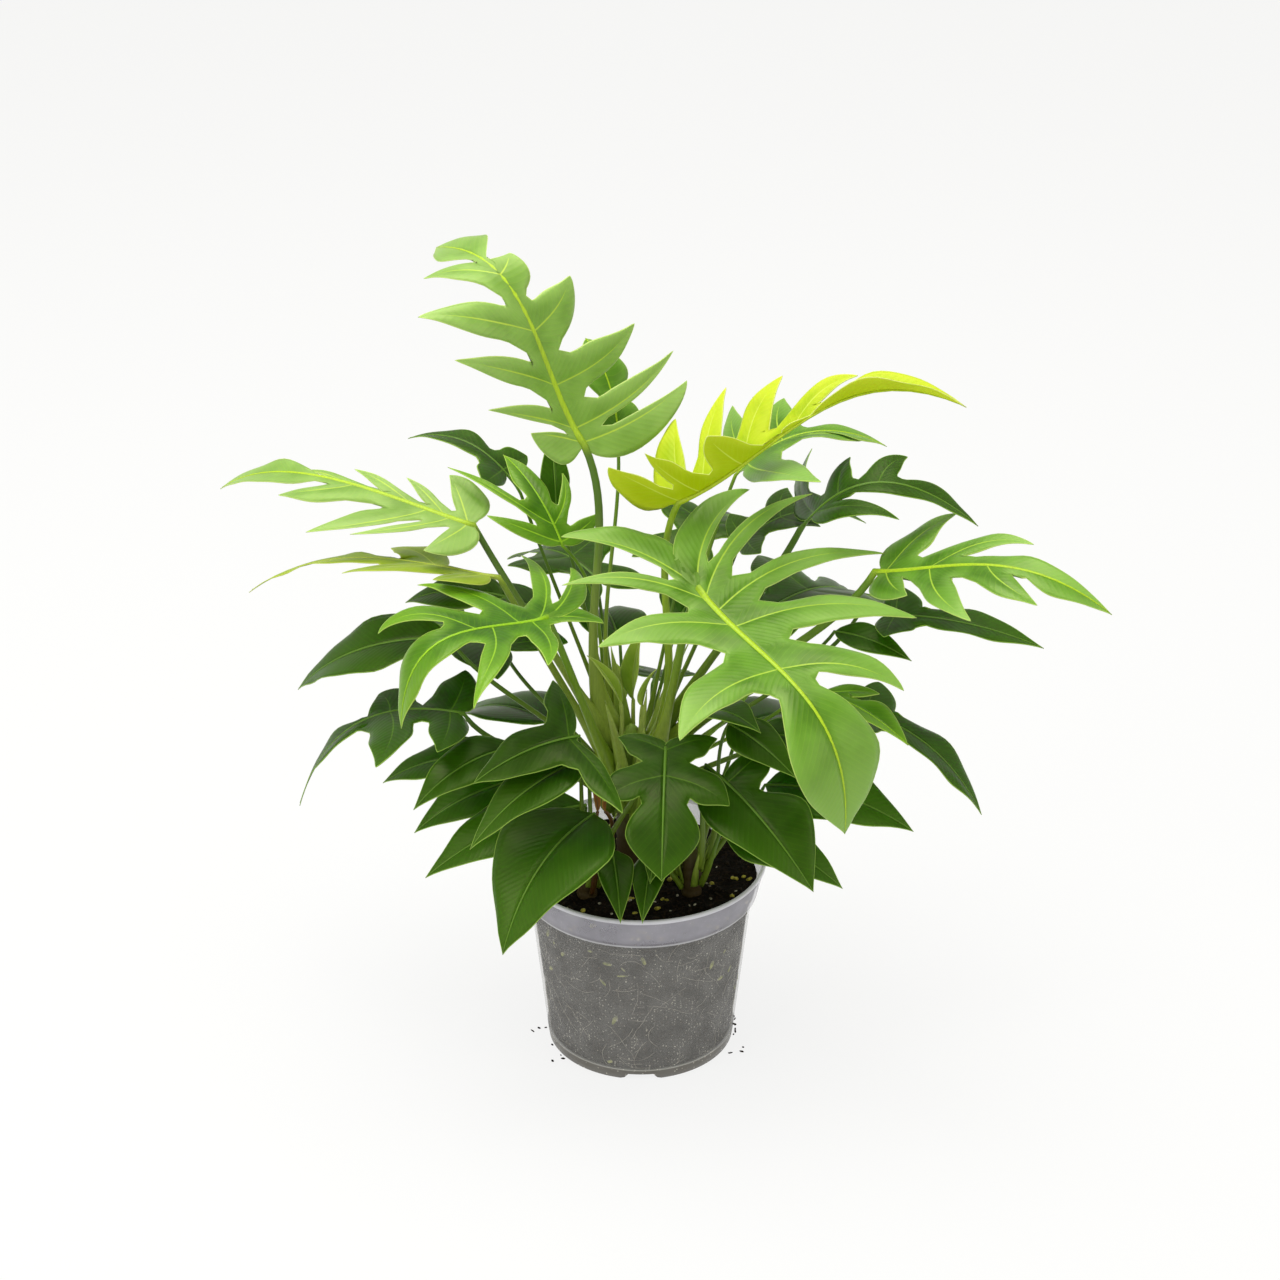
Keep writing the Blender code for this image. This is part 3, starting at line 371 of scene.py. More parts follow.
def halfBlade(leaf, side, full):
    # one half as sheets of flat points, rows from the midrib outwards and columns from back to front
    v = bladeValues
    depth, gap = leaf["cut"], leaf["gap"]
    rows = leaf.get("left" if side < 0 else "right", leaf["lobes"])
    outer = np.linspace(0, 1, v["outerRows"] + 1)
    outer = (1 - (1 - outer) ** 1.35)[1:]
    inner = np.linspace(0, 1, v["innerRows"] + 1)
    spread = np.linspace(0, 1, v["halfColumns"] + 1) ** 1.3
    sheets, end, cut = [], np.array([0.0, 0.0]), 0.0
    if rows:
        starts = [row[0] / 100 * full for row in rows]
        spacing = (starts[-1] - starts[0]) / (len(rows) - 1) if len(rows) > 1 else 0.28 * full
        starts.append(min(starts[-1] + spacing, 0.93 * full))
        shapes = [(row[2] / 100 * full, row[1], row[3]) for row in rows]
        shapes.append((shapes[-1][0] * 0.8, shapes[-1][1] * 0.8, shapes[-1][2]))
        curves = [veinCurve(side, start, *shape) for start, shape in zip(starts, shapes)]
        sinuses = [at(curve, np.array([depth]))[0] for curve in curves]
        ends = [(a + b) / 2 for a, b in zip(sinuses, sinuses[1:])]
        cuts = [0.0] + [(a + b) / 2 for a, b in zip(starts, starts[1:])]
        u = np.concatenate([inner * depth, depth + (1 - depth) * outer])
        for k, curve in enumerate(curves[:-1]):
            centre = at(curve, u)
            edges = []
            for sign in (-1, 1):
                if sign < 0 and k == 0:
                    across = aheadAcross(curve, u, side)[1]
                    width = v["outerWidth"] * full * np.sqrt(1 - (1 - np.minimum(u / 0.45, 1)) ** 2)
                    edges.append(centre - across * (width * (1 - u**2.2) ** v["lobeTip"])[:, None])
                    continue
                cutPoint = np.array([0, cuts[k] if sign < 0 else cuts[k + 1]])
                sinus = ends[k - 1] if sign < 0 else ends[k]
                straight = cutPoint + (sinus - cutPoint) * inner[:, None]
                edges.append(np.vstack([straight, lobeMargin(curve, side, sinus, sign, outer, depth, gap)]))
            columns = [centre + (edges[0] - centre) * part for part in spread[::-1]]
            columns += [centre + (edges[1] - centre) * part for part in spread[1:]]
            sheet = np.stack(columns, 1)
            spots = [starts[k] + (cuts[k] - starts[k]) * part for part in spread[::-1]]
            spots += [starts[k] + (cuts[k + 1] - starts[k]) * part for part in spread[1:]]
            sheet[0] = np.stack([np.zeros(len(spots)), spots], 1)
            sheets.append((sheet, True))
        end, cut = ends[-1], cuts[-1]
    t = np.linspace(0, 1, v["tipRows"] + 1)
    narrow = abs(end[0]) * (1 - gap * 0.8) / (leaf["width"] * full)
    rise = np.sin(np.minimum(t / leaf["peak"], 1) * pi / 2)
    rise = narrow + (1 - narrow) * rise if rows else rise**0.75
    fall = 1 - np.clip((t - leaf["peak"]) / (1 - leaf["peak"]), 0, 1) ** 1.6
    x = leaf["width"] * full * rise * fall**1.15
    if rows:
        x = x + (abs(end[0]) - x[0]) * (1 - np.sqrt(1 - (1 - np.minimum(t / 0.1, 1)) ** 2))
    edge = np.stack([side * x, end[1] + (full - end[1]) * t], 1)
    spine = np.stack([np.zeros(len(t)), cut + (full - cut) * t], 1)
    sheets.append((spine[None] + (edge - spine)[None] * inner[:, None, None], False))
    return sheets


def freeMargin(sheets):
    edge = []
    for k, (sheet, lobed) in enumerate(sheets):
        first = bladeValues["innerRows"] if lobed and k else 0
        edge += [sheet[first:, 0], sheet[bladeValues["innerRows"]:, -1]] if lobed else [sheet[-1]]
    return np.vstack(edge)


def sheetFields(sheet, lobed, edge, side, full, phase):
    # distances in mm for the material's pattern, and how far each point stands off the plain blade
    v = bladeValues
    margin = np.sqrt(((sheet[:, :, None] - edge[None, None]) ** 2).sum(-1).min(-1))
    off = np.abs(sheet[..., 0])
    if lobed:
        middle = sheet[:, v["halfColumns"]][:, None]
        across = np.linalg.norm(sheet - middle, axis=2)
        travel = np.concatenate([[0], np.cumsum(np.linalg.norm(np.diff(middle[:, 0], axis=0), axis=1))])
        along = travel[:, None] + 0 * across
        share = (travel / travel[-1])[:, None] + 0 * across
        vein = across + 1.1 * share**3
        sag = np.clip(share - 0.3, 0, 1) ** 2 * travel[-1]
    else:
        across, along, vein, share = off, sheet[..., 1] - sheet[0, 0, 1], off + 2.0, 0 * off
        sag = 0 * off
    ratio = across / np.maximum(across + margin, 1e-3)
    near = 1 - np.exp(-((off / 5) ** 2))
    groove = v["groove"] * np.exp(-((across / v["grooveWidth"]) ** 2)) * (1 - 0.7 * share) * (1 if lobed else 0)
    lift = -groove * near
    lift -= (v["cup"] * ratio**2 * across + v["lobeSag"] * sag) * near
    long, short = v["waveLengths"]
    ripple = np.sin(along / long + phase + side) + 0.6 * np.sin(along / short + 2.1 * phase)
    lift += v["wave"] * ratio**3 * ripple * np.clip((across + margin) / 12, 0, 1) * near
    return {"alongMm": along, "acrossMm": across, "veinMm": vein, "marginMm": margin, "lift": lift}


def makeBlade(name, leaf, seed):
    v = bladeValues
    full = midribArc(leaf)[2][-1]
    bm = bmesh.new()
    layers = {text: bm.verts.layers.float.new(text) for text in ("alongMm", "acrossMm", "veinMm", "marginMm")}
    guides = {text: bm.verts.layers.float.new(text) for text in ("lift", "flatX", "flatY")}
    for side in (-1, 1):
        older = set(bm.faces)
        sheets = halfBlade(leaf, side, full)
        edge = freeMargin(sheets)
        half = []
        for sheet, lobed in sheets:
            fields = sheetFields(sheet, lobed, edge, side, full, seed * 1.7)
            flat = sheet.copy()
            flat[0, :, 0] = -side * v["lap"]  # the two halves lap a little, under the midrib
            rows, columns = flat.shape[:2]
            made = bmesh.ops.create_grid(bm, x_segments=rows - 1, y_segments=columns - 1, size=1)["verts"]
            for index, vert in enumerate(made):
                i, j = index % rows, index // rows
                vert.co = (flat[i, j, 0], flat[i, j, 1], 0)
                for text, layer in layers.items():
                    vert[layer] = fields[text][i, j]
                for layer, value in zip(guides.values(), (fields["lift"][i, j], *flat[i, j])):
                    vert[layer] = value
            half += made
        bmesh.ops.remove_doubles(bm, verts=half, dist=0.02)
        faces = [f for f in bm.faces if f not in older]
        if side < 0:
            bmesh.ops.reverse_faces(bm, faces=faces)
        upper = {vert for f in faces for vert in f.verts}
        earlier = set(bm.verts)
        bmesh.ops.solidify(bm, geom=faces, thickness=v["thickness"])
        # both skins lie at their exact places on the curved blade
        for skin, off in ((upper, 0.5), (set(bm.verts) - earlier, -0.5)):
            skin = list(skin)
            guide = np.array([[vert[layer] for layer in guides.values()] for vert in skin])
            for vert, point in zip(skin, place(leaf, guide[:, 1:], guide[:, 0] + off * v["thickness"])):
                vert.co = point
        known = older | set(faces)
        for f in bm.faces:
            if f not in known and not upper.intersection(f.verts):
                f.material_index = 1
    for text in guides:
        bm.verts.layers.float.remove(bm.verts.layers.float[text])
    tone = leaf["tone"]
    addPiece(name + "_blade", bm, [leafTops[tone], leafUnders[tone]], name)


def makeStalk(name, leaf):
    v = stalkValues
    shoot = shoots[leaf["shoot"]]
    bearing = radians(leaf["foot"][0])
    outward = np.array((cos(bearing), sin(bearing), 0))
    axis = np.array((shoot["at"][0], shoot["at"][1], bladeValues["soilTop"]))
    stalk = leaf["stalk"]
    foot = axis + outward * (shoot["radius"] + v["gap"] + 0.9 * stalk) + (0, 0, leaf["foot"][1])
    base = np.array(leaf["base"], float) + (0, 0, bladeValues["soilTop"])
    far = np.linalg.norm(base - foot)
    away = unit((base - axis) * (1, 1, 0))
    sway = np.cross((0, 0, 1), away) * leaf["sway"]
    bend1 = foot + unit(0.5 * outward + (0, 0, 1)) * 0.35 * far + sway
    bend2 = base - unit(0.45 * away + (0, 0, 0.9)) * 0.3 * far + sway
    t = np.linspace(0, 1, v["rings"] + 1)[:, None]
    path = (1 - t) ** 3 * foot + 3 * (1 - t) ** 2 * t * bend1 + 3 * (1 - t) * t**2 * bend2 + t**3 * base
    full = midribArc(leaf)[2][-1]
    s = np.linspace(0, 1, v["ribRings"] + 1)[1:]
    low = min(stalk * (1 - v["taper"]), v["ribWidth"] * full)
    tall = v["ribEnd"] + (low * 0.62 - v["ribEnd"]) * (1 - s) ** 0.8
    wide = v["ribEnd"] + (low - v["ribEnd"]) * (1 - s) ** 0.9
    rib = place(leaf, np.stack([0 * s, s * 0.985 * full], 1), bladeValues["thickness"] - 0.55 * tall)
    path = np.vstack([path, rib])
    travel = t[:, 0] * far
    # the stalk's foot widens into a sheath that clasps the shoot
    clasp = v["flare"][leaf["shoot"]] * np.exp(-((travel / v["flareLength"]) ** 2))
    radius = stalk * (1 - v["taper"] * t[:, 0])
    wide = np.concatenate([radius * (1 + clasp), wide])
    tall = np.concatenate([radius * (1 + v["flareDepth"] * clasp), tall])
    ribness = np.concatenate([t[:, 0] - 1, s])
    normal = leafAxes(leaf)[1]
    heading = np.gradient(path, axis=0)
    heading /= np.linalg.norm(heading, axis=1)[:, None]
    across = np.cross(heading, normal)
    across /= np.linalg.norm(across, axis=1)[:, None]
    over = np.cross(across, heading)
    # a sheet of rings is wrapped round the path and closed to a point at both ends
    rings = len(path) + 2
    order = [0] + list(range(len(path))) + [len(path) - 1]
    size = [0.0] + [1.0] * len(path) + [0.0]
    bm = bmesh.new()
    layer = bm.verts.layers.float.new("ribness")
    made = bmesh.ops.create_grid(bm, x_segments=rings - 1, y_segments=v["sides"], size=1)["verts"]
    for index, vert in enumerate(made):
        i, j = index % rings, index // rings
        a, k = 2 * pi * (j % v["sides"]) / v["sides"], order[i]
        vert.co = path[k] + size[i] * (wide[k] * cos(a) * across[k] + tall[k] * sin(a) * over[k])
        vert[layer] = ribness[k]
    bmesh.ops.remove_doubles(bm, verts=bm.verts, dist=0.002)
    bmesh.ops.recalc_face_normals(bm, faces=bm.faces)
    addPiece(name + "_stalk", bm, [stalks[leaf["tone"]]], None)


# Each leaf says what differs from leafDefaults. foot: where its stalk leaves the shoot, as a bearing in
# degrees and a height above the peat. base, tip: the ends of the blade, from the pot's axis and the peat.
# bow, skew: height and lean of the midrib's arch. fold: how far each half folds up. cut, gap: depth and width
# of the sinuses. Lobes are rows of place up the midrib (%), angle, length (% of the midrib) and bend, the same
# on both sides unless left or right is given.
leafDefaults = dict(tone="dark", shoot="main", sway=0, stalk=1.5, bow=12, skew=0, roll=0, fold=(10, 10),
                    droop=0, peak=0.35, cut=0.38, gap=0.32, lobes=())
leaves = {
    "leaf_top": dict(tone="sage", foot=(160, 98), stalk=3.3, base=(-36, 25, 301), tip=(-130, 80, 414),
        bow=54, skew=0.9, roll=-32, fold=(12, 12), droop=0.15, width=0.085, cut=0.2, gap=0.44,
        left=((1, 43, 19, -10), (6, 40, 34, -12), (22, 38, 39, -15), (42, 44, 37, -18), (62, 39, 23, -20)),
        right=((1, 107, 40, 26), (6, 99, 41, 28), (22, 98, 32, 30), (42, 80, 20, 32), (62, 78, 8, 34))),
    "leaf_top_rear": dict(tone="mid", foot=(134, 96), base=(-15, 63, 290), tip=(-36, 92, 349), bow=10,
        width=0.1, lobes=((1, 90, 31, -10), (63, 50, 22, 25))),
    "leaf_new": dict(tone="young", foot=(343, 94), stalk=2.9, base=(24, 5, 270), tip=(201, -10, 340),
        bow=26, skew=0.9, fold=(45, 62), droop=0.05, width=0.07, cut=0.26, gap=0.44,
        left=((1, 88, 31, 24), (8, 66, 37, 27), (24, 56, 31, 31), (44, 37, 25, 34)),
        right=((1, 120, 33, 16), (8, 113, 31, 19), (24, 100, 21, 21), (44, 161, 4, 24))),
    "leaf_new_rear": dict(tone="mid", foot=(34, 91), stalk=1.6, base=(62, 60, 266), tip=(161, 70, 282),
        bow=20, width=0.09, cut=0.28, gap=0.42, left=((10, 95, 72, 20), (35, 94, 51, 30)),
        right=((10, 80, 102, 20), (35, 19, 49, 30))),
    "leaf_upper_right": dict(foot=(13, 85), stalk=3, base=(104, 40, 236), tip=(217, 20, 247), bow=37,
        skew=-0.1, roll=15, fold=(6, 6), droop=0.08, width=0.08, cut=0.2, gap=0.46,
        left=((12, 124, 74, 40), (28, 102, 26, 43), (48, 84, 25, 46)), right=((12, 36, 53, 20),)),
    "leaf_right": dict(tone="mid", foot=(357, 76), stalk=3.3, base=(150, 0, 224), tip=(287, -85, 234),
        bow=24, skew=0.6, roll=22, fold=(5, 5), droop=0.1, width=0.07, cut=0.2, gap=0.46,
        left=((5, 82, 36, 38), (25, 45, 41, 46)),
        right=((5, 59, 22, 38), (25, 63, 42, 42), (50, 50, 29, 46))),
    "leaf_right_dark": dict(foot=(325, 59), stalk=1.8, base=(141, 8, 189), tip=(258, -22, 180), bow=9,
        roll=10, width=0.12, lobes=((20, 94, 24, 2),)),
    "leaf_right_small": dict(foot=(356, 63), sway=14, base=(126, 5, 179), tip=(174, -20, 170), bow=6,
        roll=27, width=0.2),
    "leaf_front": dict(tone="mid", foot=(317, 78), stalk=3.3, base=(36, -38, 230), tip=(125, -135, 109),
        bow=43, skew=0.8, roll=12, fold=(4, 4), droop=0.05, width=0.15, peak=0.5, cut=0.22, gap=0.46,
        left=((0, 151, 45, 56), (4, 135, 59, 54), (10, 110, 62, 51), (18, 86, 57, 48), (40, 74, 39, 46)),
        right=((0, 165, 45, 44), (5, 148, 45, 46), (17, 134, 42, 48), (40, 106, 42, 50))),
    "leaf_left": dict(tone="sage", foot=(179, 89), stalk=2.8, base=(-108, 28, 244), tip=(-286, 120, 231),
        bow=24, skew=0.5, roll=-20, fold=(8, 8), droop=0.2, width=0.055, cut=0.2, gap=0.46,
        left=((2, 79, 18, 24), (8, 52, 32, 27), (16, 54, 39, 31), (42, 42, 25, 34)),
        right=((2, 53, 22, 10), (10, 33, 21, 10), (22, 22, 25, 10), (45, 12, 17, 10))),
    "leaf_left_rear": dict(foot=(141, 87), base=(-80, 82, 244), tip=(-157, 122, 267), bow=17, roll=2,
        width=0.13, left=((20, 94, 34, 2),), right=((20, 94, 29, 2),)),
    "leaf_rear_blade": dict(foot=(126, 83), base=(-56, 70, 240), tip=(-60, 95, 282), bow=5, width=0.2),
    "leaf_bright": dict(tone="bright", foot=(160, 68), sway=-35, base=(-51, 30, 229), tip=(-91, 85, 270),
        bow=8, droop=0.2, width=0.12, cut=0.26, gap=0.42, left=((3, 63, 65, 20), (18, 48, 105, 40)),
        right=((3, 82, 46, 20), (18, 57, 57, 40))),
    "leaf_olive": dict(tone="olive", foot=(189, 74), stalk=2.7, base=(-91, 0, 220), tip=(-260, 50, 186),
        bow=18, skew=0.4, roll=12, fold=(5, 5), width=0.075, cut=0.26, gap=0.4,
        left=((6, 70, 22, 20), (26, 64, 34, 30)), right=((24, 52, 34, 26),)),
    "leaf_front_left": dict(tone="bright", foot=(219, 72), stalk=3, base=(-59, -43, 212),
        tip=(-148, -95, 161), bow=34, skew=0.6, roll=-4, fold=(4, 4), droop=0.06, width=0.115, cut=0.22,
        gap=0.44, left=((0, 165, 26, 44), (8, 93, 42, 45), (28, 73, 61, 46)),
        right=((0, 154, 54, 44), (4, 136, 70, 46), (14, 90, 59, 48), (36, 72, 53, 50))),
    "leaf_dark_left": dict(foot=(187, 61), stalk=1.9, base=(-124, 0, 177), tip=(-231, 45, 116), bow=15,
        roll=-25, width=0.19),
    "leaf_dark_upper": dict(foot=(176, 67), sway=-7, base=(-88, 20, 197), tip=(-157, 55, 176), bow=8,
        roll=-22, width=0.22),
    "leaf_low_left_lobed": dict(foot=(190, 43), stalk=2.2, base=(-116, -5, 124), tip=(-229, 5, 49), bow=31,
        skew=-0.1, roll=-4, fold=(8, 8), width=0.075, cut=0.22, gap=0.42,
        left=((6, 98, 38, 20), (32, 110, 52, 36)), right=((6, 105, 33, 20), (32, 85, 19, 36))),
    "leaf_low_left_a": dict(shoot="left", foot=(152, 22), base=(-94, 5, 86), tip=(-174, 20, 58), bow=10,
        roll=-22, width=0.2),
    "leaf_low_left_b": dict(shoot="left", foot=(169, 25), base=(-66, -13, 82), tip=(-149, -33, 50),
        roll=-22, width=0.23),
    "leaf_low_left_c": dict(shoot="left", foot=(282, 38), base=(-33, -64, 124), tip=(-107, -110, 83),
        roll=-12, width=0.2),
    "leaf_low_left_d": dict(shoot="left", foot=(235, 14), stalk=1.7, base=(-36, -35, 72),
        tip=(-139, -75, 41), bow=14, roll=-17, width=0.215),
    "leaf_three_lobed": dict(shoot="left", foot=(263, 34), base=(-39, -62, 138), tip=(-105, -90, 119),
        bow=8, roll=-18, fold=(0, 0), width=0.24, cut=0.36, gap=0.24, left=((10, 103, 88, 14),),
        right=((10, 114, 79, 14),)),
    "leaf_low_front": dict(shoot="left", foot=(280, 20), sway=-14, stalk=1.7, base=(-30, -60, 80),
        tip=(-87, -130, 18), bow=18, width=0.36, peak=0.3),
    "leaf_centre": dict(shoot="left", foot=(335, 31), base=(16, -50, 123), tip=(13, -120, 66), fold=(5, 5),
        width=0.25, peak=0.45, cut=0.42, gap=0.26, left=((3, 128, 38, 34), (26, 78, 50, 30)),
        right=((3, 128, 36, 34), (26, 78, 46, 30))),
    "leaf_rim_a": dict(shoot="right", foot=(185, 13), base=(23, -32, 74), tip=(6, -79, 39), bow=8,
        width=0.27),
    "leaf_rim_b": dict(shoot="left", foot=(330, 8), base=(-19, -45, 44), tip=(-13, -98, 21), bow=8,
        width=0.2),
    "leaf_rim_c": dict(shoot="right", foot=(216, 6), base=(9, -42, 40), tip=(1, -98, 21), bow=8,
        width=0.19),
    "leaf_inner_right": dict(shoot="right", foot=(358, 26), base=(57, -25, 127), tip=(99, -65, 109), bow=6,
        roll=22, width=0.26),
    "leaf_low_right_a": dict(shoot="right", foot=(297, 23), stalk=1.6, base=(42, -40, 105),
        tip=(109, -110, 52), bow=14, roll=22, width=0.26, left=((20, 94, 34, 2),)),
    "leaf_low_right_b": dict(shoot="right", foot=(314, 9), base=(54, -45, 62), tip=(130, -80, 36), roll=22,
        width=0.24),
    "leaf_low_right_c": dict(shoot="right", foot=(11, 16), base=(82, -15, 76), tip=(178, -45, 58), bow=14,
        roll=22, width=0.25),
    "leaf_right_low_lobed": dict(foot=(358, 41), stalk=1.9, base=(122, 10, 123), tip=(224, -30, 62), bow=20,
        width=0.13, lobes=((20, 94, 29, 2),)),
    "leaf_right_bright": dict(tone="bright", foot=(348, 54), base=(104, -10, 145), tip=(170, -60, 130),
        bow=8, width=0.17, left=((20, 40, 43, 2),)),
    "leaf_inner_small": dict(tone="bright", foot=(315, 52), base=(71, -14, 146), tip=(105, -4, 161), bow=4,
        width=0.24),
    "sheath_a": dict(tone="sheath", foot=(240, 47), stalk=1.8, base=(-13, -10, 133), tip=(-35, -4, 166),
        bow=3, fold=(25, 25), width=0.2),
    "sheath_b": dict(tone="sheath", foot=(110, 36), sway=7, stalk=1.6, base=(-11, 42, 110),
        tip=(-18, 44, 138), bow=2, fold=(25, 25), width=0.2),
    "sheath_c": dict(tone="sheath", foot=(85, 39), stalk=1.8, base=(-5, 33, 114), tip=(2, 37, 168), bow=3,
        fold=(25, 25), width=0.2),
    "sheath_d": dict(tone="sheath", foot=(293, 45), stalk=1.6, base=(1, -8, 131), tip=(10, -14, 161), bow=2,
        fold=(25, 25), width=0.2),
    "sheath_dry_a": dict(tone="dry", shoot="left", foot=(294, 4), base=(-28, -49, 75), tip=(-33, -43, 97),
        bow=2, roll=5, fold=(15, 15), width=0.12),
    "sheath_dry_b": dict(tone="dry", shoot="left", foot=(313, 23), sway=14, base=(-23, -40, 70),
        tip=(-20, -42, 90), bow=2, fold=(15, 15), width=0.12),
    "leaf_back_a": dict(foot=(66, 69), base=(30, 95, 200), tip=(75, 155, 191), width=0.12,
        lobes=((1, 125, 47, -10), (34, 83, 57, 8), (63, 50, 34, 25))),
    "leaf_back_b": dict(foot=(107, 58), base=(-30, 95, 175), tip=(-85, 154, 165), width=0.12,
        lobes=((1, 125, 47, -10), (34, 83, 57, 8), (63, 50, 34, 25))),
    "leaf_back_c": dict(foot=(29, 56), stalk=1.8, base=(85, 65, 165), tip=(165, 145, 130), bow=16,
        width=0.13, lobes=((1, 125, 39, -10), (34, 83, 48, 8), (63, 50, 28, 25))),
    "leaf_back_d": dict(foot=(148, 50), stalk=1.7, base=(-95, 70, 137), tip=(-180, 140, 100), bow=16,
        width=0.14, lobes=((1, 125, 39, -10), (63, 50, 28, 25))),
    "leaf_back_e": dict(foot=(44, 34), base=(8, 85, 100), tip=(18, 152, 65), bow=10, width=0.26,
        lobes=((20, 94, 38, 2),)),
    "leaf_back_f": dict(shoot="right", foot=(63, 19), stalk=1.6, base=(66, 40, 90), tip=(140, 110, 47),
        width=0.27),
    "leaf_back_g": dict(foot=(141, 32), stalk=1.6, base=(-62, 60, 83), tip=(-135, 130, 47), width=0.27),
    "leaf_mid_back_a": dict(foot=(98, 48), base=(-14, 75, 134), tip=(-30, 150, 122), width=0.3),
    "leaf_mid_back_b": dict(foot=(72, 50), base=(24, 72, 152), tip=(60, 140, 150), width=0.3),
    "leaf_mid_right": dict(foot=(42, 72), stalk=1.7, base=(66, 72, 212), tip=(152, 96, 216), bow=16,
        width=0.12, cut=0.26, gap=0.42, lobes=((6, 100, 36, 24), (34, 80, 40, 30))),
    "leaf_mid_left": dict(foot=(158, 58), stalk=1.6, base=(-62, 46, 172), tip=(-140, 62, 160), bow=14,
        width=0.26),
    "leaf_low_left_e": dict(shoot="left", foot=(190, 30), base=(-80, -22, 108), tip=(-146, -62, 84),
        roll=-12, width=0.24),
    "leaf_low_right_d": dict(shoot="right", foot=(18, 27), base=(74, 0, 104), tip=(146, -24, 92), roll=14,
        width=0.26),
    "leaf_mid_front": dict(shoot="right", foot=(150, 28), base=(30, -8, 118), tip=(76, -62, 140),
        width=0.26),
}

for number, (name, leaf) in enumerate(leaves.items()):
    leaf = {**leafDefaults, **leaf}
    makeBlade(name, leaf, number)
    makeStalk(name, leaf)

print("pot, peat and shoots")

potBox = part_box("pot")
potValues = {
    "rim": (potBox[1][0] - potBox[0][0]) / 2 / mm, "height": potBox[1][2] / mm, "collar": 24.0,
    "collarFoot": 79.5, "collarMiddle": (81.8, 11), "bodyTop": 76.0, "base": 64.0, "wall": 1.4,
    "lipWall": 2.6, "lip": 3.0, "floor": 6.0, "foot": 4.0, "steps": 144,
    "notches": 4, "notchWidth": 24.0, "notchHeight": 4.6, "notchSlope": 3.0,
}
peatValues = {"rings": 46, "gap": 0.5, "low": 8.2, "edge": 123.0, "wallRings": 34,
              "clump": 2.6, "clumpSize": 9, "grain": 0.8, "grainSize": 3.1, "most": 2.4, "sink": 1.4}
shootValues = {"steps": 20, "rings": 44, "root": 17.5, "neck": 9, "scarSpacing": 8.0, "scarWidth": 1.1,
               "scarDepth": 0.7}


def potRadius(z):
    v = potValues
    return v["base"] + (v["bodyTop"] - v["base"]) * z / (v["height"] - v["collar"])


def innerRadius(z):
    v = potValues
    step = v["height"] - v["collar"]
    if z <= step + 0.6:
        return potRadius(min(z, step)) - v["wall"]
    low, high = v["collarFoot"] - v["wall"], v["rim"] - v["lipWall"]
    return low + (high - low) * min(max((z - step - 2.2) / (v["collar"] - 3), 0), 1)


def turned(profile, steps):
    # a profile of radius and height, spun once round the upright axis and closed at its poles
    bm = bmesh.new()
    verts = [bm.verts.new((r, 0, z)) for r, z in profile]
    edges = [bm.edges.new(pair) for pair in zip(verts, verts[1:])]
    bmesh.ops.spin(bm, geom=verts + edges, cent=(0, 0, 0), axis=(0, 0, 1), angle=2 * pi, steps=steps,
                   use_merge=True)
    bmesh.ops.remove_doubles(bm, verts=bm.verts, dist=0.001)
    bmesh.ops.recalc_face_normals(bm, faces=bm.faces)
    return bm


# Injection-moulded polypropylene, unpigmented: milky and see-through, clouded where it is thick, dusty
# inside, browner at the foot, with a brighter lip and brighter lines at the collar's step and at the floor.
potPlastic, tree = newMaterial("milkyPolypropylene")
place = addNode(tree, "ShaderNodeTexCoord").outputs["Object"]
height = addNode(tree, "ShaderNodeSeparateXYZ", None, {"Vector": place}).outputs["Z"]
rim = potValues["height"] * mm
step = rim - potValues["collar"] * mm
lines = []
for middle in (step + 0.9 * mm, 8.0 * mm):
    off = addNode(tree, "ShaderNodeMath", {"operation": "SUBTRACT", 1: middle}, {0: height}).outputs[0]
    lines.append(addNode(tree, "ShaderNodeMath", {"operation": "ABSOLUTE"}, {0: off}).outputs[0])
# dust and dried drops up to 1 mm across, in drifts 15 mm across
drift = addNode(tree, "ShaderNodeTexNoise", {"Scale": 65.0, "Detail": 3.0}, {"Vector": place}).outputs["Fac"]
dots = addNode(tree, "ShaderNodeTexVoronoi", {"Scale": 520.0}, {"Vector": place})
chance = addNode(tree, "ShaderNodeSeparateXYZ", None, {"Vector": dots.outputs["Color"]}).outputs["X"]
zones = {}
for name, value, *fade in (
    ("collar", height, step - 0.4 * mm, step + 0.6 * mm, 0.0, 1.0),
    ("lip", height, rim - 3.6 * mm, rim - 2.2 * mm, 0.0, 1.0),
    ("stepLine", lines[0], 0.4 * mm, 1.0 * mm, 1.0, 0.0),
    ("floorLine", lines[1], 0.25 * mm, 0.7 * mm, 1.0, 0.0),
    ("foot", height, 7.0 * mm, 9.0 * mm, 1.0, 0.0),
    ("dotSize", dots.outputs["Distance"], 0.18, 0.3, 1.0, 0.0),
    ("dotChance", chance, 0.45, 0.9, 0.0, 1.0),
    ("dotDrift", drift, 0.35, 0.6, 0.2, 1.0),
    ("belowCollar", height, step - 2 * mm, step, 1.0, 0.15),
    ("cloud", drift, 0.25, 0.75, 0.19, 0.28),
):
    limits = dict(zip(smoothFade, fade))
    zones[name] = addNode(tree, "ShaderNodeMapRange", {"interpolation_type": "SMOOTHSTEP", **limits},
                          {"Value": value}).outputs[0]
specks = zones["dotSize"]
for name in ("dotChance", "dotDrift", "belowCollar"):
    specks = addNode(tree, "ShaderNodeMath", {"operation": "MULTIPLY"},
                     {0: specks, 1: zones[name]}).outputs[0]
zones["specks"] = specks
alpha = zones["cloud"]
for name, amount in (("collar", 0.14), ("lip", 0.45), ("stepLine", 0.35), ("floorLine", 0.1), ("foot", 0.55),
                     ("specks", 0.4)):
    alpha = addNode(tree, "ShaderNodeMath", {"operation": "MULTIPLY_ADD", 1: amount, "use_clamp": True},
                    {0: zones[name], 2: alpha}).outputs[0]
